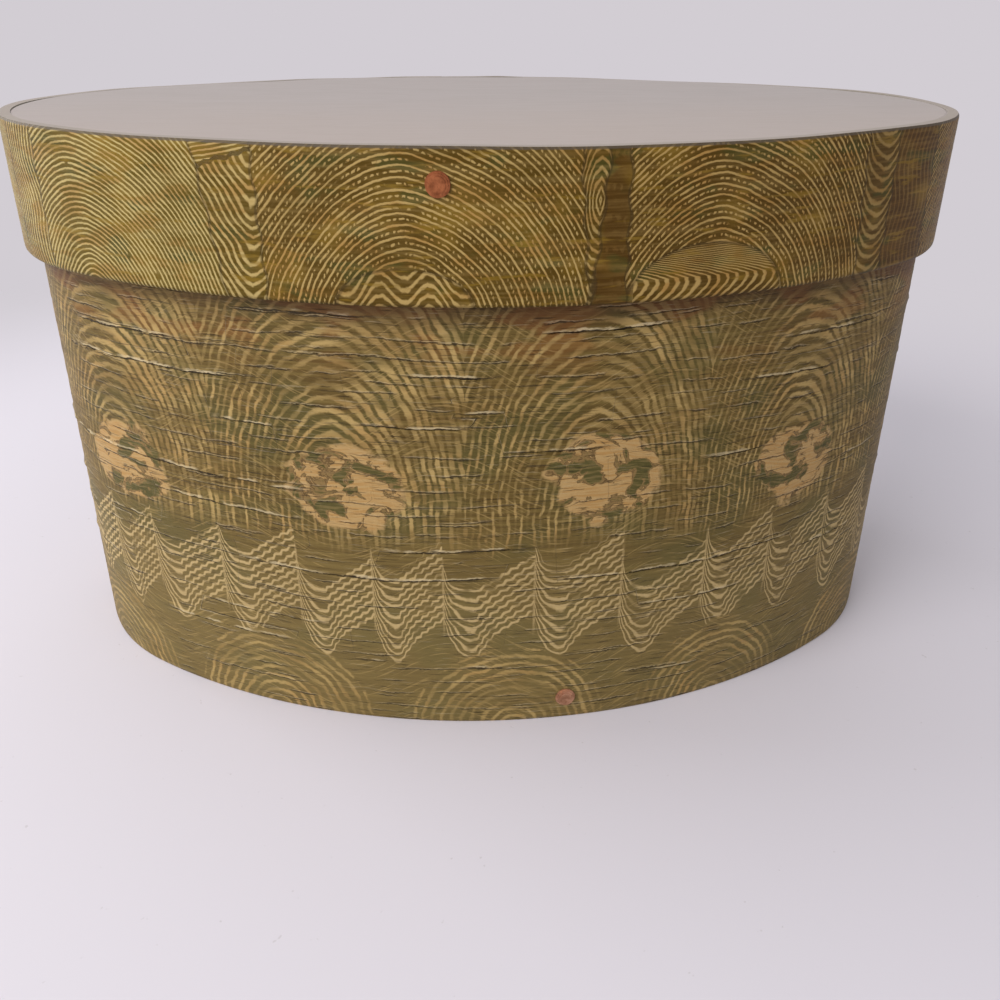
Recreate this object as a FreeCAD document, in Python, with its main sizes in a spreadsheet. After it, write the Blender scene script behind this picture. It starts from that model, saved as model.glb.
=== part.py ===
"""Oval bentwood box with a lift-off lid.

Two thin wooden bands are each bent round an oval board and lapped at the back,
where the outer end is cut into swallowtail fingers. Copper tacks hold the
fingers down and pin the boards inside the bands. Lengths are in millimetres.

The frame: +X runs along the oval, -Y is the plain front, +Z is up, and the
origin is the middle of the underside.
"""
import FreeCAD, Part
import math
import os
import re

import Sketcher

# Driving sizes. Each is a cell of the sheet "sizes".
SIZES = {
    # the closed box, outside
    "lid_length": 228.6,
    "lid_width": 152.4,
    "end_radius": 57.2,
    "box_height": 134.4,
    "lid_depth": 29.8,
    # wood
    "lid_wall": 2.7,
    "body_wall": 2.7,
    "lid_board_thickness": 9.5,
    "bottom_board_thickness": 9.5,
    "rim_recess": 0.5,
    "board_chamfer": 0.6,
    # fits
    "lid_clearance": 0.6,
    "board_fit": 0.1,
    "tack_fit": 0.05,
    # the body band's lap: its finger tips' place along X, and lengths back from there
    "body_tip_place": 22.0,
    "body_finger_length": 50.0,
    "body_root_length": 14.0,
    "body_lap_rise": 20.0,
    "body_tip_width": 9.0,
    "body_tip_thickness": 1.6,
    # the lid band's lap, likewise
    "lid_tip_place": 22.0,
    "lid_finger_length": 32.0,
    "lid_root_length": 10.0,
    "lid_lap_rise": 18.0,
    "lid_tip_width": 12.0,
    "lid_tip_thickness": 1.6,
    # how far each way the lid band swells over the body's lap
    "swell_lead": 4.0,
    "swell_fall": 20.0,
    # shared by the fingers of both bands
    "finger_root_radius": 1.0,
    "finger_feather": 5.0,
    # copper tacks
    "head_diameter": 5.2,
    "head_height": 0.9,
    "head_flat": 3.0,
    "shank_side": 1.1,
    "tack_length": 9.5,
    "point_side": 0.3,
    "clinch_length": 3.2,
    "clinch_width": 2.0,
    "clinch_thickness": 0.3,
    "clinch_room": 2.0,
    "seat_gap": 0.03,
    # where the tacks stand: up the bands, and along X from the middle
    "lid_tack_drop": 6.7,
    "bottom_tack_rise": 6.2,
    "lid_front_tack_place": -13.0,
    "bottom_front_tack_place": 15.2,
    "back_tack_place": 60.0,
    "tip_tack_setback": 8.0,
    "body_finger_tack_spacing": 30.0,
    "lid_finger_tack_spacing": 20.0,
    # how far a cut runs on past what it cuts
    "overrun": 5.0,
}

BODY_FINGERS = 4

# The faces of the wood, each an oval at a depth inside the lid's outer face.
DEPTHS = {
    "lid_out": "0",
    "lid_in": "lid_wall",
    "body_out": "lid_in + lid_clearance",
    "body_mid": "body_out + body_wall / 2",
    "body_in": "body_out + body_wall",
    "bottom_edge": "body_in + board_fit",
    "lid_board_edge": "lid_in + board_fit",
    # over the body's lap the lid swells, so its depths there are negative
    "body_lap": "body_out - body_wall",
    "lid_in_swell": "body_lap - lid_clearance",
    "lid_mid_swell": "lid_in_swell - lid_wall / 2",
    "lid_out_swell": "lid_in_swell - lid_wall",
    "lid_board_swell": "lid_in_swell + board_fit",
    "lid_lap": "lid_out_swell - lid_wall",
}

# Sizes worked out from the driving ones. Each is a cell of the sheet "worked".
WORKED = {
    "body_height": "box_height - rim_recess - lid_board_thickness",
    "lid_foot": "box_height - lid_depth",
    # the oval: how far from the middle the centres of its end and side arcs are
    "end_centre": "lid_length / 2 - end_radius",
    "end_rise": "lid_width / 2 - end_radius",
    "side_centre": "(end_centre ^ 2 - end_rise ^ 2) / (2 * end_rise)",
    "side_radius": "lid_width / 2 + side_centre",
    # places along X at the back, from the finger tips to the lap's start
    "body_thin_place": "body_tip_place - finger_feather",
    "body_root_place": "body_tip_place - body_finger_length",
    "body_lap_top": "body_root_place - body_root_length",
    "body_lap_start": "body_lap_top - body_lap_rise",
    "lid_thin_place": "lid_tip_place - finger_feather",
    "lid_root_place": "lid_tip_place - lid_finger_length",
    "lid_lap_top": "lid_root_place - lid_root_length",
    "lid_lap_start": "lid_lap_top - lid_lap_rise",
    "swell_start": "body_lap_start - swell_lead",
    "swell_top": "body_lap_top - swell_lead",
    "swell_end": "body_tip_place + swell_lead",
    "swell_foot": "swell_end + swell_fall",
    # fingers: the body's stand from just above its board to the lid, with a gap
    # below each, and the topmost has a larger one above it
    "body_finger_rise": "bottom_board_thickness + clinch_room + clinch_length / 2",
    "body_pitch": f"(lid_foot - body_finger_rise) / ({BODY_FINGERS} - 1 / 2)",
    "body_gap_half": "(body_pitch - body_tip_width) / 2",
    "body_first_gap": "body_finger_rise - body_pitch / 2",
    "body_gaps_rise": f"body_pitch * {BODY_FINGERS - 1}",
    "body_top_gap_half": "body_height - body_first_gap - body_gaps_rise - body_gap_half"
                         " - body_tip_width",
    "body_gap_bend": "body_root_place + finger_root_radius",
    "body_gap_mouth": "body_tip_place + overrun",
    "lid_gap_half": "(lid_depth - lid_tip_width) / 2",
    "lid_gap_bend": "lid_root_place + finger_root_radius",
    "lid_gap_mouth": "lid_tip_place + overrun",
    # tacks
    "head_radius": "head_diameter / 2",
    "flat_radius": "head_flat / 2",
    "shank_half": "shank_side / 2",
    "point_half": "point_side / 2",
    "drill_radius": "shank_half * sqrt(2) + tack_fit",
    "body_clinch_depth": "2 * (body_wall + seat_gap)",
    "lid_clinch_depth": "2 * (lid_wall + seat_gap)",
    "body_tip_tack_place": "body_tip_place - tip_tack_setback",
    "body_root_tack_place": "body_tip_tack_place - body_finger_tack_spacing",
    "lid_tip_tack_place": "lid_tip_place - tip_tack_setback",
    "lid_root_tack_place": "lid_tip_tack_place - lid_finger_tack_spacing",
}
WORKED |= DEPTHS
for face in DEPTHS:
    WORKED[f"{face}_end"] = f"end_radius - {face}"
    WORKED[f"{face}_side"] = f"side_radius - {face}"

# Signs of a half of the oval.
FRONT, BACK = "-", ""
LEFT, RIGHT = "-", ""
# Edges nearer than this count as one when a solid is cut or joined.
CLOSE = 1e-6
UP = FreeCAD.Vector(0, 0, 1)
# Turns a shank's length, its Y axis, from a tack's X axis into the wood.
INTO_WOOD = FreeCAD.Placement(FreeCAD.Vector(), FreeCAD.Rotation(UP, 90))

doc = FreeCAD.newDocument("oval_box")
sizes = doc.addObject("Spreadsheet::Sheet", "sizes")
worked = doc.addObject("Spreadsheet::Sheet", "worked")


def cell(match):
    """A size's name as a formula writes it, with its sheet."""
    name = match.group(0)
    if name in SIZES:
        return f"<<sizes>>.{name}"
    return f"<<worked>>.{name}" if name in WORKED else name


def full(formula):
    """A formula with each size's sheet written out."""
    return re.sub(r"[a-z]\w*", cell, formula)


def write_cell(sheet, row, name, text):
    """Fills one row of a sheet and names its cell."""
    sheet.set(f"A{row}", name)
    sheet.set(f"B{row}", text)
    sheet.setAlias(f"B{row}", name)


def work_out(name, formula):
    """Adds a worked size."""
    WORKED[name] = formula
    row = list(WORKED).index(name) + 1
    write_cell(worked, row, name, "=" + full(formula).replace("<<worked>>.", ""))


def number(name):
    """The value that a cell holds now."""
    return float(getattr(sizes if name in SIZES else worked, name))


def bind(thing, path, formula):
    """Ties a property to a formula of sizes."""
    thing.setExpression(path, full(formula))


def point(x, y):
    """A point of a sketch."""
    return FreeCAD.Vector(x, y, 0)


for row, (name, size) in enumerate(SIZES.items(), start=1):
    write_cell(sizes, row, name, str(size))
doc.recompute()
for name, formula in WORKED.items():
    work_out(name, formula)
doc.recompute()


class Drawing:
    """A sketch on one of its body's own origin planes, each size tied to a cell.

    Ends of curves are counted as the sketcher does: 1 is the start, 2 the end and
    3 the centre. Curve -1 is the X axis, its end 1 the origin, and -2 is the Y axis.
    """

    def __init__(self, body, name, role="XY_Plane"):
        self.sketch = body.newObject("Sketcher::SketchObject", name)
        plane = next(f for f in body.Origin.OriginFeatures if f.Role == role)
        self.sketch.AttachmentSupport = [(plane, "")]
        self.sketch.MapMode = "FlatFace"

    def add(self, shape):
        """Adds a curve and returns its number."""
        return self.sketch.addGeometry(shape, False)

    def at(self, curve, end):
        """Where an end of a curve is."""
        return self.sketch.getPoint(curve, end)

    def fix(self, kind, *where):
        """Adds a constraint without a size."""
        self.sketch.addConstraint(Sketcher.Constraint(kind, *where))

    def size(self, kind, *where, by, sign=1):
        """Adds a constraint whose size is a cell."""
        constraint = Sketcher.Constraint(kind, *where, sign * number(by))
        index = self.sketch.addConstraint(constraint)
        bind(self.sketch, f"Constraints[{index}]", by if sign > 0 else f"-{by}")

    def place(self, curve, end, x, y=None, sign=1, x_sign=1):
        """Puts an end at a cell's X, and at another's Y or on the X axis."""
        self.size("DistanceX", -1, 1, curve, end, by=x, sign=x_sign)
        if y:
            self.size("DistanceY", -1, 1, curve, end, by=y, sign=sign)
        else:
            self.fix("PointOnObject", curve, end, -1)

    def line(self, first, last):
        """A straight line between two points."""
        return self.add(Part.LineSegment(first, last))

    def join(self, curve, end, other, other_end):
        """Joins an end of a curve to an end of another."""
        self.fix("Coincident", curve, end, other, other_end)

    def bridge(self, curve, end, other, other_end):
        """A straight line from an end of a curve to an end of another."""
        line = self.line(self.at(curve, end), self.at(other, other_end))
        self.join(line, 1, curve, end)
        self.join(line, 2, other, other_end)
        return line

    def arc(self, centre, radius, first, last):
        """Part of a circle, anticlockwise from an angle to another."""
        return self.add(Part.ArcOfCircle(Part.Circle(centre, UP, radius), first, last))

    def heading(self, curve, end):
        """Which way an arc runs at an end, anticlockwise."""
        shape = self.sketch.Geometry[curve]
        return shape.tangent(shape.FirstParameter if end == 1 else shape.LastParameter)[0]

    def turn(self, centre, start, finish, way):
        """An arc about a centre from a point to another, anticlockwise where the
        way is 1. Returns its number with its ends at the two points."""
        first, last = (start, finish) if way > 0 else (finish, start)
        angles = [math.atan2(end.y - centre.y, end.x - centre.x) for end in (first, last)]
        if angles[1] < angles[0]:
            angles[1] += 2 * math.pi
        arc = self.arc(centre, (start - centre).Length, *angles)
        return (arc, 1, 2) if way > 0 else (arc, 2, 1)

    def sway(self, curve, other, other_end):
        """Two arcs of one radius that run on smoothly from the end of an arc and
        into another at a different depth, as bent wood does. The radius is where
        the arcs' centres, square to the two ends, are two radii apart."""
        start, finish = self.at(curve, 2), self.at(other, other_end)
        leave, arrive = self.heading(curve, 2), self.heading(other, other_end)
        left, left_after = point(-leave.y, leave.x), point(-arrive.y, arrive.x)
        both, chord = left + left_after, finish - start
        lean, slack = 2 * chord.dot(both), 4 - both.dot(both)
        way = 1 if lean > 0 else -1
        radius = (math.sqrt(lean ** 2 + 4 * slack * chord.dot(chord)) - abs(lean)) / (2 * slack)
        centre, centre_after = start + left * (way * radius), finish - left_after * (way * radius)
        middle = (centre + centre_after) * 0.5
        out, out_start, out_finish = self.turn(centre, start, middle, way)
        into, into_start, into_finish = self.turn(centre_after, middle, finish, -way)
        self.fix("Tangent", curve, 2, out, out_start)
        self.fix("Tangent", out, out_finish, into, into_start)
        self.fix("Tangent", into, into_finish, other, other_end)
        self.fix("Equal", out, into)

    def side_arc(self, face, first, last, sign=1):
        """Part of a face's side at the back, or with sign -1 at the front."""
        centre = number("side_centre")
        curve = self.arc(point(0, -sign * centre), number(f"{face}_side"), first, last)
        self.size("DistanceY", -1, 1, curve, 3, by="side_centre", sign=-sign)
        return curve

    def back_arc(self, face, start, end):
        """Part of a face at the back, between two places along X, anticlockwise."""
        radius = number(f"{face}_side")
        first, last = (math.acos(number(place) / radius) for place in (start, end))
        curve = self.side_arc(face, first, last)
        self.fix("PointOnObject", curve, 3, -2)
        self.size("Radius", curve, by=f"{face}_side")
        self.size("DistanceX", -1, 1, curve, 1, by=start)
        self.size("DistanceX", -1, 1, curve, 2, by=end)
        return curve

    def ends_and_front(self, face):
        """The two ends of a face and the side between them at the front. Returns the
        ends' numbers, and how far each turns from the X axis."""
        turn = math.atan2(number("side_centre"), number("end_centre"))
        ends = []
        for sign, middle in ((1, 0), (-1, math.pi)):
            end = self.arc(point(sign * number("end_centre"), 0), number(f"{face}_end"),
                           middle - turn, middle + turn)
            self.place(end, 3, "end_centre", x_sign=sign)
            self.size("Radius", end, by=f"{face}_end")
            ends.append(end)
        right, left = ends
        front = self.side_arc(face, math.pi + turn, 2 * math.pi - turn, sign=-1)
        self.fix("Tangent", left, 2, front, 1)
        self.fix("Tangent", front, 2, right, 1)
        return right, left, turn

    def oval(self, face):
        """A whole face: four arcs, each running smoothly into the next."""
        right, left, turn = self.ends_and_front(face)
        back = self.side_arc(face, turn, math.pi - turn)
        self.fix("Tangent", right, 2, back, 1)
        self.fix("Tangent", back, 2, left, 1)

    def swollen_oval(self, face, swell):
        """A face that swells where it goes over the body's lap."""
        right, left, turn = self.ends_and_front(face)
        radius = number(f"{face}_side")
        foot, start = (math.acos(number(place) / radius) for place in ("swell_foot", "swell_start"))
        near = self.side_arc(face, turn, foot)
        far = self.side_arc(face, start, math.pi - turn)
        for curve, end, place in ((near, 2, "swell_foot"), (far, 1, "swell_start")):
            self.fix("PointOnObject", curve, 3, -2)
            self.size("DistanceX", -1, 1, curve, end, by=place)
        self.fix("Tangent", right, 2, near, 1)
        self.fix("Tangent", far, 2, left, 1)
        over = self.back_arc(swell, "swell_end", "swell_top")
        self.sway(near, over, 1)
        self.sway(over, far, 1)


def new_body(label, foot=None):
    """A body named as its piece, with its foot at a worked height."""
    body = doc.addObject("PartDesign::Body", label)
    body.Label = label
    if foot:
        bind(body, "Placement.Base.z", foot)
    return body


def pad(body, name, drawing, height):
    """Raises a drawing into a solid."""
    feature = body.newObject("PartDesign::Pad", name)
    feature.Profile = drawing.sketch
    feature.FuzzyTolerance = CLOSE
    bind(feature, "Length", height)
    doc.recompute()
    return feature


def add_lap(body, band, height, wall_middle, skin):
    """Adds the lap's outer layer: it rises off the band, lies on its skin and
    thins at the finger tips. It starts in the wall's middle, so the two are one."""
    drawing = Drawing(body, f"{band}_lap_plan")
    tips, start = f"{band}_tip_place", f"{band}_lap_start"
    under = drawing.back_arc(wall_middle, tips, start)
    over = drawing.back_arc(f"{band}_lap", f"{band}_thin_place", f"{band}_lap_top")
    drawing.sway(over, under, 2)
    surface = drawing.back_arc(skin, tips, start)
    drawing.sketch.toggleConstruction(surface)
    tip = drawing.at(surface, 1) + point(0, number(f"{band}_tip_thickness"))
    thinned = drawing.line(drawing.at(over, 1), tip)
    end = drawing.line(tip, drawing.at(under, 1))
    drawing.join(thinned, 1, over, 1)
    drawing.join(thinned, 2, end, 1)
    drawing.join(end, 2, under, 1)
    drawing.fix("Vertical", end)
    drawing.size("DistanceY", surface, 1, end, 1, by=f"{band}_tip_thickness")
    pad(body, f"{band}_lap", drawing, height)


def draw_gap(body, band, half_width, name):
    """One gap between fingers, seen from the front: a round root at the left,
    sides that leave it level and swing apart like a pointed arch, and an open
    mouth past the tips at the right."""
    drawing = Drawing(body, f"{name}_outline", "XZ_Plane")
    bend, tip, mouth = (number(f"{band}_{end}") for end in ("gap_bend", "tip_place", "gap_mouth"))
    root, half = number("finger_root_radius"), number(half_width)
    run, swing = tip - bend, half - root
    side_radius = (run ** 2 + swing ** 2) / (2 * swing)
    turn = math.asin(run / side_radius)
    quarter = math.pi / 2
    above = Part.Circle(point(bend, root + side_radius), UP, side_radius)
    below = Part.Circle(point(bend, -root - side_radius), UP, side_radius)
    round_root = Part.Circle(point(bend, 0), UP, root)
    root_arc = drawing.add(Part.ArcOfCircle(round_root, quarter, 3 * quarter))
    upper = drawing.add(Part.ArcOfCircle(above, -quarter, turn - quarter))
    lower = drawing.add(Part.ArcOfCircle(below, quarter - turn, quarter))
    drawing.place(root_arc, 3, f"{band}_gap_bend")
    drawing.size("Radius", root_arc, by="finger_root_radius")
    drawing.fix("Vertical", root_arc, 1, root_arc, 3)
    drawing.fix("Vertical", root_arc, 2, root_arc, 3)
    drawing.fix("Tangent", upper, 1, root_arc, 1)
    drawing.fix("Tangent", lower, 2, root_arc, 2)
    drawing.place(upper, 2, f"{band}_tip_place", half_width)
    drawing.place(lower, 1, f"{band}_tip_place", half_width, sign=-1)
    upper_lip = drawing.line(point(tip, half), point(mouth, half))
    lower_lip = drawing.line(point(mouth, -half), point(tip, -half))
    drawing.join(upper_lip, 1, upper, 2)
    drawing.join(lower_lip, 2, lower, 1)
    drawing.fix("Horizontal", upper_lip)
    drawing.fix("Horizontal", lower_lip)
    close = drawing.bridge(upper_lip, 2, lower_lip, 1)
    drawing.fix("Vertical", close)
    drawing.size("DistanceX", -1, 1, close, 1, by=f"{band}_gap_mouth")
    return drawing


def cut_gap(body, band, half_width, name, level=None):
    """Cuts a gap through the lap, centred on the band's lower edge or on a level.
    The wall under the lap is added later, so it stays whole."""
    drawing = draw_gap(body, band, half_width, name)
    if level:
        bind(drawing.sketch, "AttachmentOffset.Base.y", level)
    before = body.Tip.Shape.Volume
    gap = body.newObject("PartDesign::Pocket", name)
    gap.Profile = drawing.sketch
    gap.FuzzyTolerance = CLOSE
    gap.Type = "ThroughAll"
    doc.recompute()
    if gap.Shape.Volume >= before:
        raise SystemExit(f"{name} cuts nothing")
    return gap, drawing


def repeat_gap(body, gap, drawing, rise, gaps):
    """Repeats a gap up the band."""
    pattern = body.newObject("PartDesign::LinearPattern", f"{gap.Name}s")
    pattern.Originals = [gap]
    pattern.Direction = (drawing.sketch, ["V_Axis"])
    bind(pattern, "Length", rise)
    pattern.Occurrences = gaps
    body.Tip = pattern
    doc.recompute()


class Seat:
    """A place on a face of the wood where a tack goes in, square to the wood."""

    def __init__(self, name, x, y, turn, rise):
        self.name, self.rise = name, rise
        work_out(f"{name}_x", x)
        work_out(f"{name}_y", y)
        work_out(f"{name}_turn", turn)

    @classmethod
    def on_side(cls, name, face, side, x, rise):
        """A seat on the front or the back, at a place along X."""
        reach = f"sqrt({face}_side ^ 2 - {name}_x ^ 2)"
        return cls(name, x, f"{side}({reach} - side_centre)", f"atan2({side}{reach}; {name}_x)", rise)

    @classmethod
    def on_end(cls, name, face, end, rise):
        """A seat at the tip of the left or the right end."""
        return cls(name, f"{end}(end_centre + {face}_end)", "0", f"atan2(0; {name}_x)", rise)

    def placement(self, proud, floor="0", pitch=0, swing=""):
        """The formula of a placement this far proud of the wood, measured from a
        piece's floor. The placed thing's X axis points out of the wood, or at a
        pitch of -90 its Z axis points into it. A swing turns it further round."""
        turn = f"{self.name}_turn"
        x = f"{self.name}_x + {proud} * cos({turn})"
        y = f"{self.name}_y + {proud} * sin({turn})"
        z = f"{self.rise} - {floor}"
        return f"placement(vector({x}; {y}; {z}); rotation({turn}{swing}; {pitch}; 0))"


def drill(body, seats, depth, floor="0"):
    """Drills the tacks' holes into a band that stands on a floor."""
    for seat in seats:
        hole = body.newObject("PartDesign::SubtractiveCylinder", f"{body.Label}_{seat.name}_hole")
        hole.FuzzyTolerance = CLOSE
        bind(hole, "Radius", "drill_radius")
        bind(hole, "Height", f"{depth} + overrun")
        bind(hole, "Placement", seat.placement("overrun", floor, -90))
        doc.recompute()


def pierce(body, seats, floor="0"):
    """Cuts the square holes that driven tacks leave in a board on a floor."""
    for seat in seats:
        hole = body.newObject("PartDesign::SubtractiveWedge", f"{body.Label}_{seat.name}_hole")
        hole.FuzzyTolerance = CLOSE
        for way in ("X", "X2", "Z", "Z2"):
            bind(hole, f"{way}min", "-shank_half - tack_fit")
            bind(hole, f"{way}max", "shank_half + tack_fit")
        hole.Ymin = 0
        bind(hole, "Ymax", "tack_length + overrun")
        bind(hole, "Placement", seat.placement("overrun", floor, swing=" + 90 deg"))
        doc.recompute()


def tack_head(seat):
    """Turns a tack's head, low and hammered flat in the middle, and seats it. Its
    own X axis points out of the wood."""
    body = new_body(seat.name)
    drawing = Drawing(body, f"{seat.name}_profile")
    head, flat, crown = (number(name) for name in ("head_radius", "flat_radius", "head_height"))
    corners = [point(0, 0), point(0, head), point(crown, flat), point(crown, 0)]
    under, slope, top, axis = (drawing.line(*ends)
                               for ends in zip(corners, corners[1:] + corners[:1]))
    for curve, following in ((under, slope), (slope, top), (top, axis), (axis, under)):
        drawing.join(curve, 2, following, 1)
    drawing.fix("Coincident", under, 1, -1, 1)
    drawing.fix("Vertical", under)
    drawing.size("DistanceY", -1, 1, under, 2, by="head_radius")
    drawing.place(top, 1, "head_height", "flat_radius")
    drawing.fix("Vertical", top)
    drawing.fix("Horizontal", axis)
    turned = body.newObject("PartDesign::Revolution", f"{seat.name}_head")
    turned.Profile = drawing.sketch
    turned.ReferenceAxis = (drawing.sketch, ["H_Axis"])
    doc.recompute()
    bind(body, "Placement", seat.placement("seat_gap"))
    return body


def add_shank(body, length, end_half):
    """Adds a tack's square shank, which tapers to the given half width."""
    shank = body.newObject("PartDesign::AdditiveWedge", f"{body.Label}_shank")
    for way in ("X", "Z"):
        bind(shank, f"{way}min", "-shank_half")
        bind(shank, f"{way}max", "shank_half")
        bind(shank, f"{way}2min", f"-{end_half}")
        bind(shank, f"{way}2max", end_half)
    shank.Ymin = 0
    bind(shank, "Ymax", length)
    shank.Placement = INTO_WOOD
    doc.recompute()


def add_clinch(body, depth):
    """Adds the hammered end of a lap tack, which lies upright on the wood inside."""
    plate = body.newObject("PartDesign::AdditiveBox", f"{body.Label}_clinch")
    bind(plate, "Length", "clinch_thickness")
    bind(plate, "Width", "clinch_width")
    bind(plate, "Height", "clinch_length")
    bind(plate, "Placement.Base.x", f"-{depth} - clinch_thickness")
    bind(plate, "Placement.Base.y", "-clinch_width / 2")
    bind(plate, "Placement.Base.z", "-clinch_length / 2")
    doc.recompute()


def ease_top(body, slab):
    """Chamfers the top edge of a board."""
    faces = slab.Shape.Faces
    top = max(range(len(faces)), key=lambda index: faces[index].CenterOfMass.z)
    chamfer = body.newObject("PartDesign::Chamfer", f"{body.Label}_eased")
    chamfer.Base = (slab, [f"Face{top + 1}"])
    bind(chamfer, "Size", "board_chamfer")
    doc.recompute()


# The seats of the tacks. Each tack is named as its seat.
LID_TACK_LEVEL = "lid_foot + lid_depth - lid_tack_drop"
lid_tacks, bottom_tacks = (
    [
        Seat.on_side(f"{part}_tack_front", face, FRONT, f"{part}_front_tack_place", level),
        Seat.on_end(f"{part}_tack_right", face, RIGHT, level),
        Seat.on_side(f"{part}_tack_back", face, BACK, "back_tack_place", level),
        Seat.on_end(f"{part}_tack_left", face, LEFT, level),
    ]
    for part, face, level in (("lid", "lid_out", LID_TACK_LEVEL),
                              ("bottom", "body_out", "bottom_tack_rise"))
)
body_finger_tacks = [
    Seat.on_side(f"body_finger_{finger}_{end}_tack", "body_lap", BACK, f"body_{end}_tack_place",
                 f"body_finger_rise + body_pitch * {finger - 1}")
    for finger in range(1, BODY_FINGERS + 1) for end in ("root", "tip")
]
lid_finger_tacks = [
    Seat.on_side(f"lid_finger_{end}_tack", "lid_lap", BACK, f"lid_{end}_tack_place",
                 "lid_foot + lid_depth / 2")
    for end in ("root", "tip")
]
doc.recompute()

# The band round the body: its lap and fingers first, then the wall, then the holes.
body_band = new_body("body_band")
add_lap(body_band, "body", "body_height", "body_mid", "body_out")
gap, outline = cut_gap(body_band, "body", "body_gap_half", "body_gap", "body_first_gap")
repeat_gap(body_band, gap, outline, "body_gaps_rise", BODY_FINGERS)
cut_gap(body_band, "body", "body_top_gap_half", "body_top_gap", level="body_height")
wall = Drawing(body_band, "body_wall_plan")
wall.oval("body_out")
wall.oval("body_in")
pad(body_band, "body_wall", wall, "body_height")
drill(body_band, bottom_tacks, "body_wall + overrun")
drill(body_band, body_finger_tacks, "2 * body_wall + overrun")

# The board in its foot, flush with the band's lower edge.
bottom_board = new_body("bottom_board")
outline = Drawing(bottom_board, "bottom_board_plan")
outline.oval("bottom_edge")
ease_top(bottom_board, pad(bottom_board, "bottom_slab", outline, "bottom_board_thickness"))
pierce(bottom_board, bottom_tacks)

# The lid's band, which swells where it goes over the body's lap.
lid_band = new_body("lid_band", foot="lid_foot")
add_lap(lid_band, "lid", "lid_depth", "lid_mid_swell", "lid_out_swell")
cut_gap(lid_band, "lid", "lid_gap_half", "lid_lower_gap")
cut_gap(lid_band, "lid", "lid_gap_half", "lid_upper_gap", level="lid_depth")
wall = Drawing(lid_band, "lid_wall_plan")
wall.swollen_oval("lid_out", "lid_out_swell")
wall.swollen_oval("lid_in", "lid_in_swell")
pad(lid_band, "lid_wall", wall, "lid_depth")
drill(lid_band, lid_tacks, "lid_wall + overrun", "lid_foot")
drill(lid_band, lid_finger_tacks, "2 * lid_wall + overrun", "lid_foot")

# The board in its top, which rests on the body band's upper edge.
lid_board = new_body("lid_board", foot="body_height")
outline = Drawing(lid_board, "lid_board_plan")
outline.swollen_oval("lid_board_edge", "lid_board_swell")
ease_top(lid_board, pad(lid_board, "lid_slab", outline, "lid_board_thickness"))
pierce(lid_board, lid_tacks, "body_height")

# The tacks: pointed ones into the boards, and clinched ones through the laps.
tacks = []
for seat in bottom_tacks + lid_tacks:
    tack = tack_head(seat)
    add_shank(tack, "tack_length", "point_half")
    tacks.append(tack)
for band, seats in (("body", body_finger_tacks), ("lid", lid_finger_tacks)):
    for seat in seats:
        tack = tack_head(seat)
        add_shank(tack, f"{band}_clinch_depth", "shank_half")
        add_clinch(tack, f"{band}_clinch_depth")
        tacks.append(tack)
doc.recompute()

failed = [thing.Name for thing in doc.Objects if {"Invalid", "Error"} & set(thing.State)]
if failed:
    raise SystemExit("failed to build: " + ", ".join(failed))
wood = [body_band, bottom_board, lid_band, lid_board]
for piece in wood + tacks:
    if piece.Shape.isNull() or not piece.Shape.isValid() or len(piece.Shape.Solids) != 1:
        raise SystemExit(f"{piece.Label} is not one valid solid")
for tack in tacks:
    for piece in wood:
        if tack.Shape.common(piece.Shape).Volume > 0:
            raise SystemExit(f"{tack.Label} has no hole in {piece.Label}")

os.makedirs("parts", exist_ok=True)
for piece in wood + tacks:
    piece.Shape.exportStep(f"parts/{piece.Label}.step")
    print(f"{piece.Label}: {piece.Shape.Volume:.0f} mm3")
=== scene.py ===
"""Looks of an oval bentwood box: two steamed bands, two boards and copper tacks.

Sizes of the object are in millimetres, as a maker would give them, and become
metres only where a mesh gets its place. Along a band, "along" is measured round
its outer face from the middle of the front, and grows towards +X.
"""

import logging
import math
import random
from dataclasses import dataclass, field
from enum import Enum
from typing import Optional, Union

import bpy
import numpy as np
from mathutils import Matrix, Vector, noise


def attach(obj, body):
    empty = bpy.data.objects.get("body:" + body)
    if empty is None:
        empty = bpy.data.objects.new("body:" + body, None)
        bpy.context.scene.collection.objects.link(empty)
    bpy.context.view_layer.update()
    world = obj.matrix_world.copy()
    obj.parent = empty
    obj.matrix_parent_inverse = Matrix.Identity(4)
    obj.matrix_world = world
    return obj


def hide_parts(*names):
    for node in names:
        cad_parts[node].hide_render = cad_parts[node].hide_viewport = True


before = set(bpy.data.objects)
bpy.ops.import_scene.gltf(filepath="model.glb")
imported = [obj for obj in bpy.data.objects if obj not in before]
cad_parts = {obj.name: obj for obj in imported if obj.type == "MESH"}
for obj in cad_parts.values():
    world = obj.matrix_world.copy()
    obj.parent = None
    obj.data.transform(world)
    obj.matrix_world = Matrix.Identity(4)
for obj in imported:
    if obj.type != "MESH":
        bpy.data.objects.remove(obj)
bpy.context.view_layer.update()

MM = 0.001
FAR = 1e3
log = logging.getLogger("oval_box")

Array = np.ndarray
Colour = tuple[float, float, float, float]


def colour(red: int, green: int, blue: int) -> Colour:
    """Turns a colour as the eye reads it into the renderer's linear one.

    Args:
        red: Its red, 0 to 255.
        green: Its green, 0 to 255.
        blue: Its blue, 0 to 255.

    Returns:
        The linear red, green and blue, and an opaque alpha.
    """
    def linear(part: int) -> float:
        """The linear value of one part."""
        share = part / 255
        return share / 12.92 if share <= 0.04045 else ((share + 0.055) / 1.055) ** 2.4
    return (linear(red), linear(green), linear(blue), 1.0)


def ease(share: Array) -> Array:
    """An S-curve of two equal arcs from 0 to 1, as bent wood makes."""
    share = np.clip(share, 0, 1)
    return np.where(share < 0.5, 2 * share ** 2, 1 - 2 * (1 - share) ** 2)


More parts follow.
